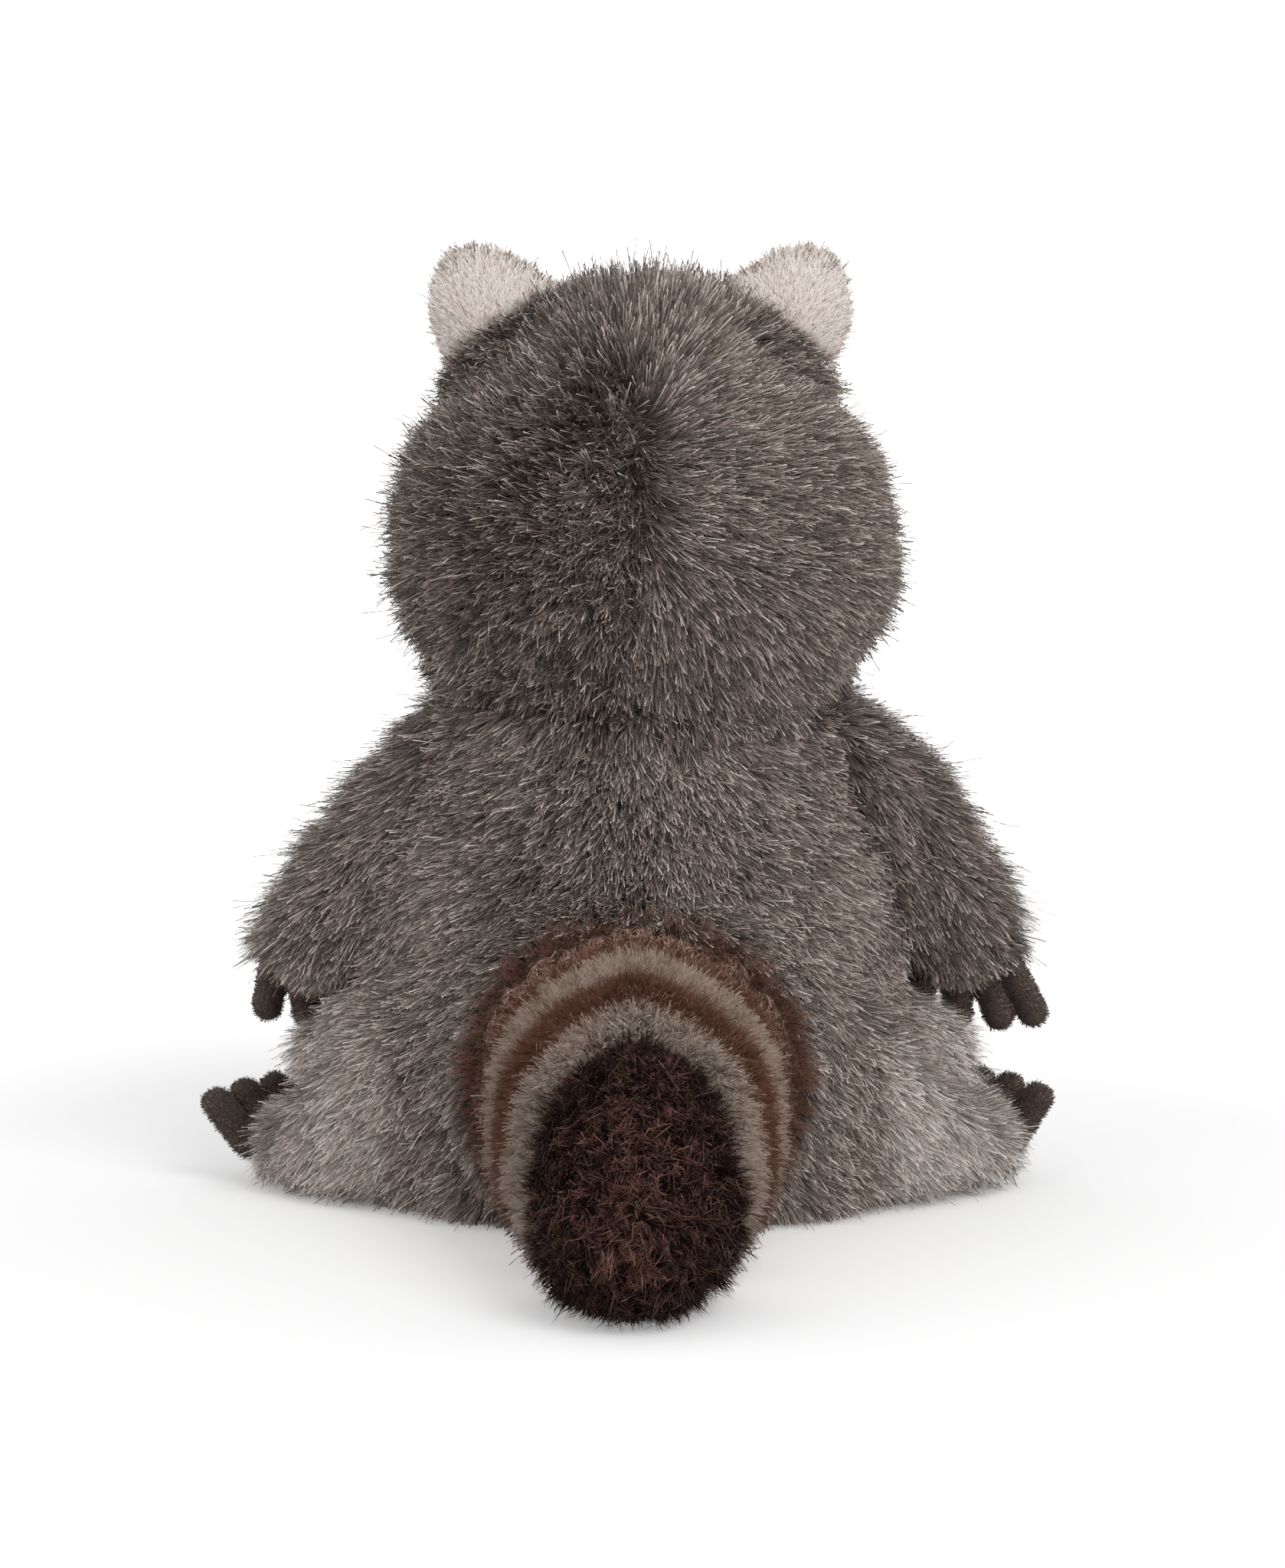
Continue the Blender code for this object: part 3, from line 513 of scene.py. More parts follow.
longCoat = {
    "perArea": 8.5e6, "perLock": 5, "width": 0.00022, "pull": 0.34, "arch": 0.10, "curl": 0.0, "roll": 0.6,
    "lockSpread": 0.20, "lockSweep": 0.40, "lockLength": 0.14, "spread": 0.26, "sweep": 0.50, "strays": 0.07,
    "toneLock": 0.10, "toneStrand": 0.28, "toneDrift": 0.05, "cardShare": 0.2, "bent": False, "cutEnds": 0.36,
    "tipFacing": 0.0, "seed": 1,
}
looseCoat = {**longCoat, "lockSweep": 1.5, "sweep": 0.8, "lockSpread": 0.30, "toneLock": 0.13,
             "toneStrand": 0.31}
frontCoat = {**longCoat, "perArea": 6.0e6}
shortCoat = {**longCoat, "perArea": 7.0e6, "perLock": 6, "width": 0.00030, "pull": 0.35, "strays": 0.02}


# Head: the pile parts at the middle of the back and is combed out from there

head = {
    "middle": np.array([-0.001, -0.008, 0.151]),
    "inset": 0.0052,
    "faceInset": 0.0028,
    "partingLow": 0.158,
    "partingHigh": 0.197,
    "partingBack": 0.044,
    "length": 0.0078,
    "faceHalfWidth": 0.052,
    "faceHalfHeight": 0.0385,
    "faceMiddle": (-0.001, 0.153),
    "faceSquareness": 2.7,
    "maskSide": 0.026,
    "maskRise": 0.004,
    "maskHalfLength": 0.0185,
    "maskHalfHeight": 0.0115,
    "maskTilt": 24.0,
    "noseFoot": np.array([-0.001, -0.065, 0.1400]),
    "leftInset": 0.0009,
    "leftJowlInset": 0.0018,
    "rightJowlInset": 0.0008,
    "rightCheekFill": 0.0020,
    "earRoomInset": 0.0043,
    "jowl": (0.135, 0.013),  # height, and reach up and down
    "cheek": (0.150, 0.008),
    "earRoomSide": (0.012, 0.020),  # where it starts, and over how much it grows
    "earRoomHeight": (0.172, 0.036),
    "earRoomBack": (-0.030, 0.014),
    "tuft": (-0.056, 0.187),  # a paler tuft below the right ear
    "tuftReach": 0.006,
    "facePile": 0.0052,
    "eyeSide": 0.0225,
    "tone": -0.19,
    # painted light: the right half is made lighter, for the light falling on its flatter-combed pile
    "rightTone": 0.06,
    # painted light: pile that faces up is made lighter, as if lit from above
    "paintedTopLight": 0.06,
    "partingTone": -0.24,
    "tuftTone": 0.5,
}


def inFace(places):
    across = np.abs(places[:, 0] - head["faceMiddle"][0]) / head["faceHalfWidth"]
    rise = np.abs(places[:, 2] - head["faceMiddle"][1]) / head["faceHalfHeight"]
    inside = across ** head["faceSquareness"] + rise ** head["faceSquareness"] < 1.0
    return inside & (places[:, 1] < head["middle"][1] - 0.004)


def inMask(places, sign):
    tilt = math.radians(-sign * head["maskTilt"])
    x = places[:, 0] - (head["middle"][0] + sign * head["maskSide"])
    z = places[:, 2] - (head["middle"][2] + head["maskRise"])
    along = (x * math.cos(tilt) + z * math.sin(tilt)) / head["maskHalfLength"]
    over = (-x * math.sin(tilt) + z * math.cos(tilt)) / head["maskHalfHeight"]
    return (along ** 2 + over ** 2 < 1.0) & (places[:, 1] < head["middle"][1])


def earRoom(places):
    # The head's upper corners lie low, so that the ears show down to their seams
    outwards = rising(np.abs(places[:, 0]), *head["earRoomSide"])
    upwards = rising(places[:, 2], *head["earRoomHeight"])
    behindFace = rising(places[:, 1], *head["earRoomBack"])
    return outwards * behindFace * upwards * upwards * (3.0 - 2.0 * upwards)


def headInset(places):
    left = rising(places[:, 0], 0.0, 0.035)
    right = rising(places[:, 0], 0.0, -0.035)
    jowl = bell(places[:, 2], *head["jowl"])
    cheek = bell(places[:, 2], *head["cheek"])
    deeper = left * (head["leftInset"] + head["leftJowlInset"] * jowl)
    deeper += right * (head["rightJowlInset"] * jowl - head["rightCheekFill"] * cheek)
    deeper += head["earRoomInset"] * earRoom(places)
    return np.where(inFace(places), head["faceInset"], head["inset"] + deeper)


def combHead(places, ups):
    # The right half is combed outwards and lies flatter, the left half stands up and shows its depth
    parting = perPlace(places, head["middle"][0], head["partingBack"],
                       np.clip(places[:, 2], head["partingLow"], head["partingHigh"]))
    flow = unit(places - parting)
    flow[:, 2] -= 0.35
    left = np.clip((places[:, 0] - head["middle"][0]) / 0.008 + 0.5, 0.0, 1.0)
    facingBack = rising(ups[:, 1], 0.25, 0.5)
    flow *= (1.0 - 0.8 * left * facingBack)[:, None]
    flow[:, 2] -= 0.3 * left * facingBack
    crown = bell(places[:, 0], head["middle"][0], 0.024) * rising(ups[:, 2], 0.6, 0.3)
    lift = 0.52 + 0.50 * left * facingBack + 0.35 * crown - 0.22 * earRoom(places)
    lift += 0.12 * drift(places, 0.03, 7)
    nearParting = bell(places[:, 0], head["middle"][0], 0.0018) * facingBack
    share = 1.0 - 0.3 * nearParting + 0.2 * crown - 0.25 * earRoom(places)
    return flow, lift, head["length"] * (1.0 + 0.10 * drift(places, 0.04, 9)) * share


def headTone(places, ups):
    # Painted light: the right half lighter, as the light falls on its flatter pile
    right = np.clip((head["middle"][0] - places[:, 0]) / 0.012 + 0.5, 0.0, 1.0)
    nearParting = bell(places[:, 0], head["middle"][0], 0.0018) * (places[:, 1] > 0.0)
    nearParting *= bell(places[:, 2], 0.5 * (head["partingLow"] + head["partingHigh"]), 0.022)
    (side, height), reach = head["tuft"], head["tuftReach"]
    tuft = np.exp(-(((places[:, 0] - side) / reach) ** 2 + ((places[:, 2] - height) / reach) ** 2))
    # Painted light: the right half and the pile facing up are made lighter
    tone = head["tone"] + head["rightTone"] * right + head["paintedTopLight"] * rising(ups[:, 2], 0.5, 0.3)
    return tone + head["partingTone"] * nearParting + head["tuftTone"] * tuft


headSkin = stuffedSkin(["head", "face_panel", "mask_left", "mask_right"], headInset)
addPiece("headCloth", headSkin.copy(), groundOf["grey"], ["head"])
middles = np.array([face.center[:] for face in headSkin.polygons])
paleFaces = inFace(middles) & ~inMask(middles, 1.0) & ~inMask(middles, -1.0)
faceCloth = skinPart(headSkin, paleFaces)
places, normals, _ = meshArrays(faceCloth)
faceCloth.vertices.foreach_set("co", (places + normals * 0.0002).ravel())
addPiece("faceCloth", faceCloth, groundOf["cream"])
for sideName, sign in sides.items():
    coat = {**(looseCoat if sign > 0 else longCoat), "seed": 11 + int(sign)}
    growPile("headPile_" + sideName, headSkin, coat, combHead, pileOf["grey"],
             keep=lambda p, n: (sign * (p[:, 0] - head["middle"][0]) > 0) & ~inFace(p), toneAt=headTone)


# Face: cream pile combed away from the nose, and the dark masks

faceCoat = {**shortCoat, "perArea": 5.0e6, "width": 0.00033, "seed": 21}


def combFace(places, ups):
    flow = unit(places - head["noseFoot"])
    eyeAway = np.zeros_like(flow)
    for sign in sides.values():
        middle = np.array([head["middle"][0] + sign * head["eyeSide"], -0.057, 0.1575])
        away = places - middle
        eyeAway += unit(away) * np.exp(-(np.linalg.norm(away, axis=1) / 0.007) ** 2)[:, None] * 3.0
    return flow + eyeAway, 0.55, head["facePile"]


def faceTone(places, ups):
    middle = bell(places[:, 0], head["middle"][0], 0.009) * rising(places[:, 2], 0.160, 0.012)
    cheeks = rising(places[:, 2], 0.150, -0.02)
    return 0.05 - 0.55 * middle + 0.12 * cheeks


growPile("facePile", headSkin, faceCoat, combFace, pileOf["cream"],
         keep=lambda p, n: inFace(p) & ~inMask(p, 1.0) & ~inMask(p, -1.0), toneAt=faceTone,
         replaced=["face_panel"])
for sideName, sign in sides.items():
    growPile("maskPile_" + sideName, headSkin, {**faceCoat, "seed": 31 + int(sign)}, combFace,
             pileOf["darkBrown"], keep=lambda p, n: inMask(p, sign) & inFace(p),
             replaced=["mask_" + sideName])
print("head done")


# Torso and legs: one stuffed skin, combed down and outwards, with the paler belly panel in front

torso = {
    "inset": 0.0050,
    "length": 0.0078,
    "bellyHalfWidth": 0.034,
    "bellyHalfHeight": 0.041,
    "bellyHeight": 0.061,
    "bellySquareness": 2.2,
    "bellyBack": -0.02,
    "floorSpread": (0.016, 0.45),  # below this height the skin is drawn in less, down to this share
    "tone": -0.09,
    # painted light: the right half is made lighter, for the light falling on its flatter-combed pile
    "rightTone": 0.06,
    "flankTone": 0.07,
    "towardsLegsTone": 0.15,
    "seamTone": -0.05,
}
leg = {
    "length": 0.0076,
    "slope": 1.08,  # the thigh's upper edge falls this much for each metre outwards, from contourHeight
    "contourHeight": 0.047,
    "contourSide": {"left": 0.0640, "right": 0.0560},
    "mostInset": 0.010,
    "outerInset": 0.0034,
    "outer": (0.066, 0.012),  # where the outer inset starts, and over how much it grows
    "contourFrom": 0.048,
    "contourBelow": 0.07,
    "tone": -0.10,
    "outerTone": 0.15,
    "rightTone": 0.20,
}


def inBelly(places):
    across = np.abs(places[:, 0]) / torso["bellyHalfWidth"]
    rise = np.abs(places[:, 2] - torso["bellyHeight"]) / torso["bellyHalfHeight"]
    inside = across ** torso["bellySquareness"] + rise ** torso["bellySquareness"] < 1.0
    return inside & (places[:, 1] < torso["bellyBack"])


def bodyInset(places):
    # The legs slope down more than their solids on the upper outer side, and the pile spreads at the floor
    side = np.where(places[:, 0] > 0, leg["contourSide"]["left"], leg["contourSide"]["right"])
    contour = leg["contourHeight"] - (np.abs(places[:, 0]) - side) * leg["slope"]
    above = (places[:, 2] - contour) / math.hypot(1.0, leg["slope"])
    onLeg = (np.abs(places[:, 0]) > leg["contourFrom"]) * (places[:, 2] < leg["contourBelow"])
    lowered = np.clip(above, 0.0, leg["mostInset"]) * onLeg
    outer = leg["outerInset"] * rising(np.abs(places[:, 0]), *leg["outer"])
    spreadBelow, leastShare = torso["floorSpread"]
    return (torso["inset"] + outer) * np.clip(places[:, 2] / spreadBelow, leastShare, 1.0) + lowered


def towardsLegs(places):
    flank = rising(np.abs(places[:, 0]), 0.028, 0.035)
    return flank * rising(places[:, 2], 0.088, -0.05)


def combTorso(places, ups):
    right = np.clip(0.5 - places[:, 0] / 0.016, 0.0, 1.0)
    facingBack = np.clip(ups[:, 1], 0.0, 1.0)
    outward = np.clip(places[:, 0] / 0.040, -1.0, 1.0)
    flow = perPlace(places, outward * 0.8, -0.05, -1.0)
    standing = (0.38 - 0.28 * right) * facingBack * (1.0 - towardsLegs(places))
    lift = 0.52 + standing + 0.12 * drift(places, 0.03, 17)
    return flow, lift, torso["length"] * (1.0 + 0.10 * drift(places, 0.04, 19))


def torsoTone(places, ups):
    # Painted light: the right half lighter, as the light falls on its flatter pile
    right = np.clip(0.5 - places[:, 0] / 0.016, 0.0, 1.0)
    flank = rising(np.abs(places[:, 0]), 0.022, 0.030)
    seam = bell(places[:, 0], -0.001, 0.0015) * (places[:, 1] > 0)
    tone = torso["tone"] + torso["rightTone"] * right + torso["flankTone"] * flank
    return tone + torso["towardsLegsTone"] * towardsLegs(places) + torso["seamTone"] * seam


bodySkin = stuffedSkin(["torso", "belly_panel", "leg_left", "leg_right"], bodyInset, rounds=8)
bodyGroups = {"torso": ["torso", "belly_panel"], "leg_left": ["leg_left"], "leg_right": ["leg_right"]}
groupTrees = {name: treeOf(nodeNames) for name, nodeNames in bodyGroups.items()}
nearest = [min(groupTrees, key=lambda name: groupTrees[name].find_nearest(face.center)[3])
           for face in bodySkin.polygons]
bodyParts = {name: skinPart(bodySkin, [found == name for found in nearest]) for name in bodyGroups}

torsoSkin = bodyParts["torso"]
addPiece("torsoCloth", closedCloth(torsoSkin), groundOf["grey"], ["torso"])
growPile("torsoPileBack", torsoSkin, {**longCoat, "lockSweep": 0.55, "seed": 41}, combTorso, pileOf["grey"],
         keep=lambda p, n: p[:, 1] > -0.004, toneAt=torsoTone)
growPile("torsoPileFront", torsoSkin, {**frontCoat, "seed": 42}, combTorso, pileOf["grey"],
         keep=lambda p, n: (p[:, 1] <= -0.004) & ~inBelly(p), toneAt=torsoTone)
growPile("bellyPile", torsoSkin, {**frontCoat, "seed": 43}, combTorso, pileOf["pale"],
         keep=lambda p, n: inBelly(p), toneAt=lambda p, n: 0.34, replaced=["belly_panel"])
print("torso done")

for sideName, sign in sides.items():
    def combLeg(places, ups, sign=sign):
        nearFloor = rising(places[:, 2], 0.014, -0.010)
        flow = perPlace(places, sign * 0.8, 0.15 + 0.3 * nearFloor, -0.75)
        lift = 0.50 + 0.12 * drift(places, 0.03, 63)
        return flow, lift, leg["length"] * (1 + 0.1 * drift(places, 0.03, 64))

    def legTone(places, ups, sign=sign):
        outer = rising(np.abs(places[:, 0]), 0.045, 0.035)
        return leg["tone"] + leg["outerTone"] * outer + leg["rightTone"] * (sign < 0)

    legSkin = bodyParts["leg_" + sideName]
    addPiece("legCloth_" + sideName, closedCloth(legSkin), groundOf["pale"],
             ["leg_" + sideName])
    growPile("legPile_" + sideName, legSkin, {**longCoat, "seed": 61 + int(sign)}, combLeg,
             pileOf["pale"], toneAt=legTone)


# Arms: the pile hangs along the arm, longer on its outer side, and ends in a short cuff over the hand

arm = {
    "inset": 0.0048,
    "shoulderFill": 0.0040,
    "cuffInset": 0.0035,
    "length": 0.0074,
    "fringe": 0.0026,
    "cuffLength": 0.0036,
    "cuffHeight": 0.014,
    "tone": -0.11,
    "outerTone": 0.12,
    "rightTone": -0.05,
}


def armInset(places):
    # The right shoulder is fuller, and the right cuff narrower on its outer side
    right = places[:, 0] < 0
    shoulder = rising(places[:, 2], 0.086, 0.014) * right
    outside = rising(places[:, 0], -0.076, -0.010)
    cuff = rising(places[:, 2], 0.068, -0.010) * outside
    return arm["inset"] - arm["shoulderFill"] * shoulder + arm["cuffInset"] * cuff


for sideName, sign in sides.items():
    armSkin = stuffedSkin(["arm_" + sideName], armInset, cell=0.0025)
    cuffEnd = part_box("arm_" + sideName)[0][2]

    def combArm(places, ups, sign=sign, cuffEnd=cuffEnd):
        outer = np.clip(sign * ups[:, 0], 0.0, 1.0) * rising(ups[:, 2], -0.2, 0.5)
        flow = perPlace(places, sign * 0.70, -0.05, -1.0)
        lift = 0.52 + 0.12 * drift(places, 0.025, 53) + 0.08 * outer
        above = rising(places[:, 2], cuffEnd, arm["cuffHeight"])
        length = arm["cuffLength"] + (arm["length"] - arm["cuffLength"]) * above
        return flow, lift, length + arm["fringe"] * outer * above

    def armTone(places, ups, sign=sign):
        outer = np.clip(sign * ups[:, 0], 0.0, 1.0)
        return arm["tone"] + arm["outerTone"] * outer + arm["rightTone"] * (sign < 0)

    addPiece("armCloth_" + sideName, armSkin.copy(), groundOf["grey"], ["arm_" + sideName])
    growPile("armPile_" + sideName, armSkin, {**longCoat, "seed": 51 + int(sign)}, combArm,
             pileOf["grey"], toneAt=armTone)
print("limbs done")


# Tail: four rings of plush and the dark tip, all combed towards the end. The last ring's pile hangs over the
# tip like a collar, and the tip is slimmer than the ring

tail = {
    "inset": 0.0084,
    "topRaise": 0.0026,
    "length": 0.0072,
    "lift": 0.66,
    "middleHeight": 0.031,
    "collarTop": -0.002,
    "collarSide": 0.014,
    "collarLow": 0.012,
    "collarLength": 0.0088,
    "tipInset": 0.0098,
    "tipLength": 0.0064,
}
tailBands = {
    "tail_band_1": ("brownRing", "brown_plush", 0.0),
    "tail_band_2": ("lightRing", "light_plush", -0.04),
    "tail_band_3": ("brownRing", "brown_plush", 0.0),
    "tail_band_4": ("lightRing", "light_plush", 0.06),
}
tailSeams = [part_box(nodeName)[1][1] for nodeName in tailBands]
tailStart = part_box("tail_band_1")[0][1]
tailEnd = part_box("tail_tip")[1][1]


def tailInset(places):
    beyond = np.clip((places[:, 1] - tailSeams[3] - 0.002) / 0.008, 0.0, 1.0)
    side = rising(np.abs(places[:, 0]), 0.0, 0.018)
    onTop = rising(places[:, 2], 0.036, 0.016) * (1.0 - side) * tail["topRaise"]
    offFloor = rising(places[:, 2], -0.004, 0.034)
    return (tail["inset"] - onTop + (tail["tipInset"] - tail["inset"]) * beyond * side) * offFloor


def collarReach(places):
    side = rising(np.abs(places[:, 0]), 0.013, 0.010)
    low = rising(places[:, 2], 0.030, -0.014)
    reach = tail["collarTop"] + (tail["collarSide"] - tail["collarTop"] + tail["collarLow"] * low) * side
    return tailSeams[3] + reach


def combTail(places, ups):
    collar = np.clip((places[:, 1] - tailSeams[3] + 0.008) / 0.008, 0.0, 1.0)
    collar *= rising(np.abs(places[:, 0]), 0.0, 0.020)
    flow = perPlace(places, places[:, 0] * 3.0, 1.0, (places[:, 2] - tail["middleHeight"]) * 3.0)
    lift = tail["lift"] - 0.10 * collar + 0.05 * drift(places, 0.02, 73)
    return flow, lift, tail["length"] + (tail["collarLength"] - tail["length"]) * collar


tailSkin = stuffedSkin([*tailBands, "tail_tip"], tailInset, cell=0.0022, rounds=5, fadeOver=0.004)
bandCoat = {**longCoat, "lockSpread": 0.14, "spread": 0.18, "lockLength": 0.08, "perArea": 9.6e6,
            "strays": 0.03, "toneStrand": 0.20, "tipFacing": 0.7}
bandStart = tailStart - 0.01
for number, (nodeName, (finish, slot, lighter)) in enumerate(tailBands.items(), start=1):
    seam = tailSeams[number - 1]
    bandSkin = skinPart(tailSkin, between=(bandStart, seam))
    addPiece("bandCloth_%d" % number, closedCloth(bandSkin), groundOf[finish], [nodeName])
    if number == 4:
        bandSkin = skinPart(tailSkin, between=(bandStart, seam + tail["collarSide"] + tail["collarLow"]))
    growPile("bandPile_%d" % number, bandSkin, {**bandCoat, "seed": 71 + number}, combTail,
             pileOf[finish], keep=lambda p, n: p[:, 1] < collarReach(p), toneAt=lambda p, n: lighter)
    bandStart = seam

tipCoat = {**longCoat, "seed": 81, "perArea": 5.8e6, "curl": 0.09, "lockSpread": 0.4, "lockSweep": 1.0,
           "perLock": 8, "pull": 0.50, "bent": True, "width": 0.00024}


def combTip(places, ups):
    flow = perPlace(places, places[:, 0] * 12.0, 0.8, (places[:, 2] - tail["middleHeight"]) * 12.0)
    lift = 0.50 + 0.45 * np.clip(ups[:, 1], 0.0, 1.0) + 0.15 * drift(places, 0.015, 83)
    return flow, lift, tail["tipLength"]


tipSkin = skinPart(tailSkin, between=(tailSeams[3], tailEnd + 0.01))
addPiece("tailTipCloth", closedCloth(tipSkin), groundOf["darkBrown"], ["tail_tip"])
growPile("tailTipPile", tipSkin, tipCoat, combTip, pileOf["darkBrown"],
         keep=lambda p, n: p[:, 1] > collarReach(p) - 0.004)
print("tail done")


# Ears: short pale pile on both faces

ear = {"inset": 0.0008, "topInset": 0.0032, "length": 0.0036, "side": 0.034}
earCoat = {**shortCoat, "perArea": 2.0e7, "width": 0.00024, "toneStrand": 0.16, "spread": 0.32, "sweep": 0.7}


def earInset(places):
    return ear["inset"] + (ear["topInset"] - ear["inset"]) * rising(places[:, 2], 0.208, 0.012)


for sideName, sign in sides.items():
    earSkin = stuffedSkin(["ear_back_" + sideName, "ear_lining_" + sideName], earInset, cell=0.0014,
                          rounds=3, fadeOver=0.003)

    def combEar(places, ups, sign=sign):
        return perPlace(places, (places[:, 0] - sign * ear["side"]) * 60.0, 0.0, 1.0), 0.55, ear["length"]

    addPiece("earCloth_" + sideName, earSkin.copy(), groundOf["cream"],
             ["ear_back_" + sideName])
    growPile("earPileBack_" + sideName, earSkin, {**earCoat, "seed": 91 + int(sign)}, combEar,
             pileOf["cream"], keep=lambda p, n: n[:, 1] > -0.6, toneAt=lambda p, n: 0.18)
    growPile("earPileFront_" + sideName, earSkin, {**earCoat, "seed": 95 + int(sign)}, combEar,
             pileOf["pale"], keep=lambda p, n: n[:, 1] <= -0.6,
             toneAt=lambda p, n: 0.1, replaced=["ear_lining_" + sideName])


# Muzzle and nose

muzzle = {"inset": 0.0018, "length": 0.0036, "combedFrom": np.array([-0.001, -0.088, 0.147])}
muzzleSkin = stuffedSkin(["muzzle"], muzzle["inset"], cell=0.0018, fadeOver=0.003)


def combMuzzle(places, ups):
    return places - muzzle["combedFrom"], 0.5, muzzle["length"]


addPiece("muzzleCloth", muzzleSkin.copy(), groundOf["cream"], ["muzzle"])
growPile("muzzlePile", muzzleSkin, {**shortCoat, "seed": 101}, combMuzzle, pileOf["cream"],
         toneAt=lambda p, n: 0.12)
addPiece("noseSuede", stuffedSkin(["nose"], 0.0, cell=0.0006, rounds=6), suede, ["nose"])


# Hands and feet: thin filled pads with four digits each, in a dark cloth with a short nap

digitPlaces = (-1.5, -0.5, 0.5, 1.5)
finger = {"size": (0.0037, 0.0037, 0.0037), "steps": 6, "taper": 0.06}
toe = {
    "size": (0.0047, 0.0036, 0.0042),
    "steps": 5,
    "taper": 0.06,
    "spread": 0.0108,
    "rootSpread": 0.0082,
    "reach": 0.0122,
    "drop": 0.0009,  # the outer toes end lower by this
}
foot = {"inwards": {"left": 0.0020, "right": 0.0042}}
sole = {"size": (0.0150, 0.0042, 0.0090), "below": 0.0040, "inwards": 0.0030}
hand = {
    "depth": -0.0172,
    "palmSize": (0.0125, 0.0046, 0.0075),
    "knuckleSpread": 0.0062,
    "left": {"palm": (0.0765, 0.0545), "tips": [(0.0620, 0.0462), (0.0702, 0.0432), (0.0786, 0.0414),
                                                (0.0880, 0.0430)]},
    "right": {"palm": (-0.0790, 0.0545), "tips": [(-0.0672, 0.0448), (-0.0769, 0.0412), (-0.0868, 0.0406),
                                                  (-0.0948, 0.0415)]},
}
nap = {"inset": 0.0, "length": 0.0009, "cell": 0.0007, "rounds": 3, "fadeOver": 0.002}
napCoat = {**shortCoat, "perArea": 1.0e7, "perLock": 4, "width": 0.00022, "spread": 0.4, "sweep": 0.9,
           "strays": 0.0, "seed": 111}


def addBall(form, place, size, turn=None):
    made = bmesh.ops.create_uvsphere(form, u_segments=20, v_segments=12, radius=1.0)
    matrix = Matrix.Translation(place) @ (turn or Matrix.Identity(4)) @ Matrix.Diagonal((*size, 1.0))
    bmesh.ops.transform(form, matrix=matrix, verts=made["verts"])


def addDigit(form, base, tip, shape, turn=None):
    for step in range(shape["steps"] + 1):
        share = step / shape["steps"]
        size = [part * (1.0 - shape["taper"] * share) for part in shape["size"]]
        addBall(form, base.lerp(tip, share), size, turn)


def handForm(sideName):
    form = bmesh.new()
    palm = Vector((hand[sideName]["palm"][0], hand["depth"], hand[sideName]["palm"][1]))
    addBall(form, palm, hand["palmSize"])
    for place, (x, z) in zip(digitPlaces, hand[sideName]["tips"]):
        base = palm + Vector((sides[sideName] * place * hand["knuckleSpread"], 0.0, -0.001))
        addDigit(form, base, Vector((x, hand["depth"] - 0.001, z)), finger)
    return form


def footForm(sideName):
    # The sole stands nearly on edge: its widest way runs across the leg, and the toes point up
    form = bmesh.new()
    points = np.array([corner.co[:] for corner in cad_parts["foot_" + sideName].data.vertices])
    middle = Vector((points.min(0) + points.max(0)) / 2)
    _, _, rows = np.linalg.svd(points - points.mean(0))
    across, up, facing = (Vector(row) for row in rows)
    up = up if up.z > 0 else -up
    across = across if across.x > 0 else -across
    turn = Matrix((across, facing, up)).transposed().to_4x4()
    inwards = -across * sides[sideName]
    middle += inwards * foot["inwards"][sideName]
    addBall(form, middle - up * sole["below"] + inwards * sole["inwards"], sole["size"], turn)
    for place in digitPlaces:
        base = middle + across * place * toe["rootSpread"] - up * sole["below"]
        tip = middle + across * place * toe["spread"] + up * (
            toe["reach"] - toe["size"][2] - toe["drop"] * abs(place))
        addDigit(form, base, tip, toe, turn)
    return form


def combNap(places, ups):
    return perPlace(places, places[:, 0] * 8.0, 0.1, 0.4), 0.7, nap["length"]


for sideName in sides:
    for partName, makeForm in (("hand", handForm), ("foot", footForm)):
        nodeName = partName + "_" + sideName
        form = remeshed(makeForm(sideName), nap["cell"], nap["rounds"])
        padSkin = drawnIn(form, [nodeName], nap["inset"], nap["fadeOver"])
        addPiece(partName + "Suede_" + sideName, padSkin.copy(), suede, [nodeName])
        growPile(partName + "Nap_" + sideName, padSkin, napCoat, combNap, napPile)
print("suede done")


# Eyes: polished domes on the axis of their washers

eye = {"radius": 0.0052, "height": 0.0036, "rimAboveWasher": 0.0059, "sink": 0.0010}


def eyeMaterial():
    material, nodes, links, shader = newMaterial("eyePlastic")
    coords = nodes.new("ShaderNodeTexCoord").outputs["Object"]
    ramp = addRamp(nodes, [(0.3, (0.006, 0.004, 0.003)), (0.7, (0.020, 0.012, 0.009))])
    links.new(addNoise(nodes, links, coords, 300.0), ramp.inputs[0])
    links.new(ramp.outputs[0], shader.inputs["Base Color"])
    shader.inputs["Roughness"].default_value = 0.06
    shader.inputs["Coat Weight"].default_value = 0.25
    shader.inputs["Specular IOR Level"].default_value = 0.35
    shader.inputs["Coat Roughness"].default_value = 0.03
    return material


def washerMaterial():
    material, nodes, links, shader = newMaterial("washerPlastic")
    coords = nodes.new("ShaderNodeTexCoord").outputs["Object"]
    ramp = addRamp(nodes, [(0.3, (0.62, 0.62, 0.60)), (0.7, (0.74, 0.74, 0.71))])
    links.new(addNoise(nodes, links, coords, 500.0), ramp.inputs[0])
    links.new(ramp.outputs[0], shader.inputs["Base Color"])
    shader.inputs["Roughness"].default_value = 0.45
    return material


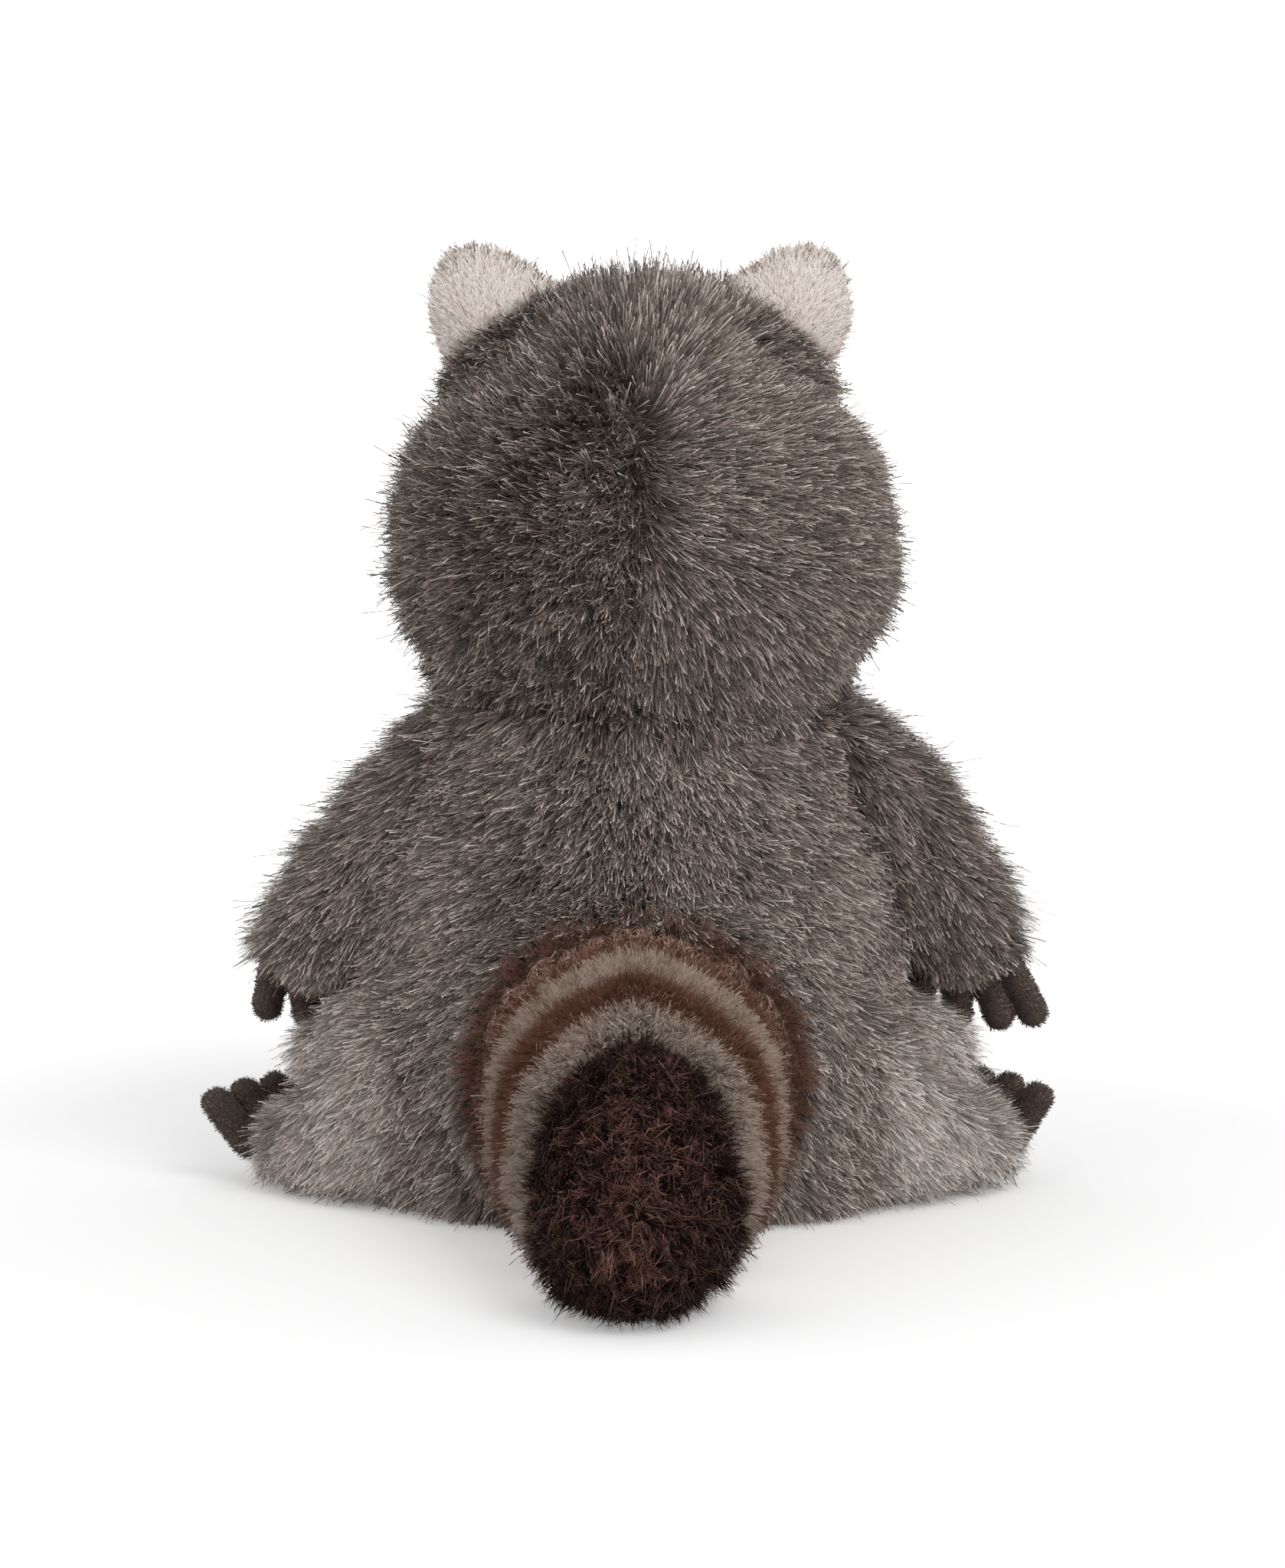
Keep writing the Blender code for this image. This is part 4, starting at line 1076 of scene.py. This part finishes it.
polished = eyeMaterial()
moulded = washerMaterial()
for sideName in sides:
    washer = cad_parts["eye_washer_" + sideName]
    washer.data.materials.clear()
    washer.data.materials.append(moulded)
    points = np.array([corner.co[:] for corner in washer.data.vertices])
    middle = (points.min(0) + points.max(0)) / 2
    _, _, rows = np.linalg.svd(points - points.mean(0))
    axis = Vector(rows[2])
    if axis.y > 0:
        axis = -axis
    place = Matrix.Translation(Vector(middle) + axis * eye["rimAboveWasher"]) @ axis.to_track_quat(
        "Z", "Y").to_matrix().to_4x4()
    dome = bmesh.new()
    profile = [dome.verts.new((eye["radius"] * math.cos(a), 0.0, eye["height"] * math.sin(a)))
               for a in np.linspace(math.pi / 2, 0.0, 10)]
    profile.append(dome.verts.new((eye["radius"], 0.0, -eye["sink"])))
    profile.append(dome.verts.new((0.0, 0.0, -eye["sink"])))
    edges = [dome.edges.new(pair) for pair in zip(profile, profile[1:])]
    bmesh.ops.spin(dome, geom=profile + edges, cent=(0, 0, 0), axis=(0, 0, 1), angle=2 * math.pi, steps=40,
                   use_merge=True)
    bmesh.ops.remove_doubles(dome, verts=dome.verts, dist=1e-6)
    bmesh.ops.recalc_face_normals(dome, faces=dome.faces)
    bmesh.ops.transform(dome, matrix=place, verts=dome.verts)
    eyeMesh = bpy.data.meshes.new("eye")
    dome.to_mesh(eyeMesh)
    dome.free()
    eyeMesh.shade_smooth()
    eyeMesh.set_sharp_from_angle(angle=math.radians(40))
    addPiece("eyeDome_" + sideName, eyeMesh, polished, ["eye_" + sideName])
print("face done")


# Studio: a white floor and room, a big soft light from behind the camera's right and a fill from its left

studio = {
    "room": 0.62,
    "key": 18.0,
    "keyPlace": (-0.9, 1.5, 1.6),
    "fill": 4.0,
    "fillPlace": (1.4, 1.0, 0.8),
    "floorGlow": 0.27,
    "glowNear": 0.18,
    "glowFar": 0.80,
}


def addLight(name, place, power, size):
    lamp = bpy.data.lights.new(name, "AREA")
    lamp.energy = power
    lamp.shape = "SQUARE"
    lamp.size = size
    light = bpy.data.objects.new(name, lamp)
    light.location = place
    light.rotation_mode = "QUATERNION"
    light.rotation_quaternion = (Vector(place) - Vector((0, 0, 0.1))).to_track_quat("Z", "Y")
    scene.collection.objects.link(light)


def addRoom():
    world = bpy.data.worlds.new("room")
    scene.world = world
    world.use_nodes = True
    nodes, links = world.node_tree.nodes, world.node_tree.links
    rays = nodes.new("ShaderNodeLightPath")
    seen = nodes.new("ShaderNodeMath")
    seen.operation = "MAXIMUM"
    links.new(rays.outputs["Is Camera Ray"], seen.inputs[0])
    links.new(rays.outputs["Is Glossy Ray"], seen.inputs[1])
    strength = nodes.new("ShaderNodeMapRange")
    strength.inputs["To Min"].default_value = studio["room"]
    strength.inputs["To Max"].default_value = 1.0
    links.new(seen.outputs[0], strength.inputs["Value"])
    background = nodes["Background"]
    background.inputs["Color"].default_value = (1.0, 1.0, 1.0, 1.0)
    links.new(strength.outputs[0], background.inputs["Strength"])


def addFloor():
    sheet = bmesh.new()
    bmesh.ops.create_circle(sheet, cap_ends=True, segments=64, radius=6.0)
    mesh = bpy.data.meshes.new("floor")
    sheet.to_mesh(mesh)
    sheet.free()
    floor = bpy.data.objects.new("floor", mesh)
    scene.collection.objects.link(floor)
    material, nodes, links, shader = newMaterial("floor")
    shader.inputs["Base Color"].default_value = (0.88, 0.88, 0.88, 1.0)
    shader.inputs["Roughness"].default_value = 0.9
    shader.inputs["Specular IOR Level"].default_value = 0.1
    # Seen by the camera, the floor turns into the white background away from the toy
    coords = nodes.new("ShaderNodeTexCoord")
    away = nodes.new("ShaderNodeVectorMath")
    away.operation = "LENGTH"
    links.new(coords.outputs["Object"], away.inputs[0])
    whiter = nodes.new("ShaderNodeMapRange")
    whiter.inputs["From Min"].default_value = studio["glowNear"]
    whiter.inputs["From Max"].default_value = studio["glowFar"]
    whiter.inputs["To Min"].default_value = studio["floorGlow"]
    links.new(away.outputs["Value"], whiter.inputs["Value"])
    rays = nodes.new("ShaderNodeLightPath")
    glow = nodes.new("ShaderNodeMath")
    glow.operation = "MULTIPLY"
    links.new(rays.outputs["Is Camera Ray"], glow.inputs[0])
    links.new(whiter.outputs[0], glow.inputs[1])
    shader.inputs["Emission Color"].default_value = (1.0, 1.0, 1.0, 1.0)
    links.new(glow.outputs[0], shader.inputs["Emission Strength"])
    mesh.materials.append(material)


addRoom()
addFloor()
addLight("key", studio["keyPlace"], studio["key"], 1.2)
addLight("fill", studio["fillPlace"], studio["fill"], 1.5)
scene.view_settings.view_transform = "Standard"
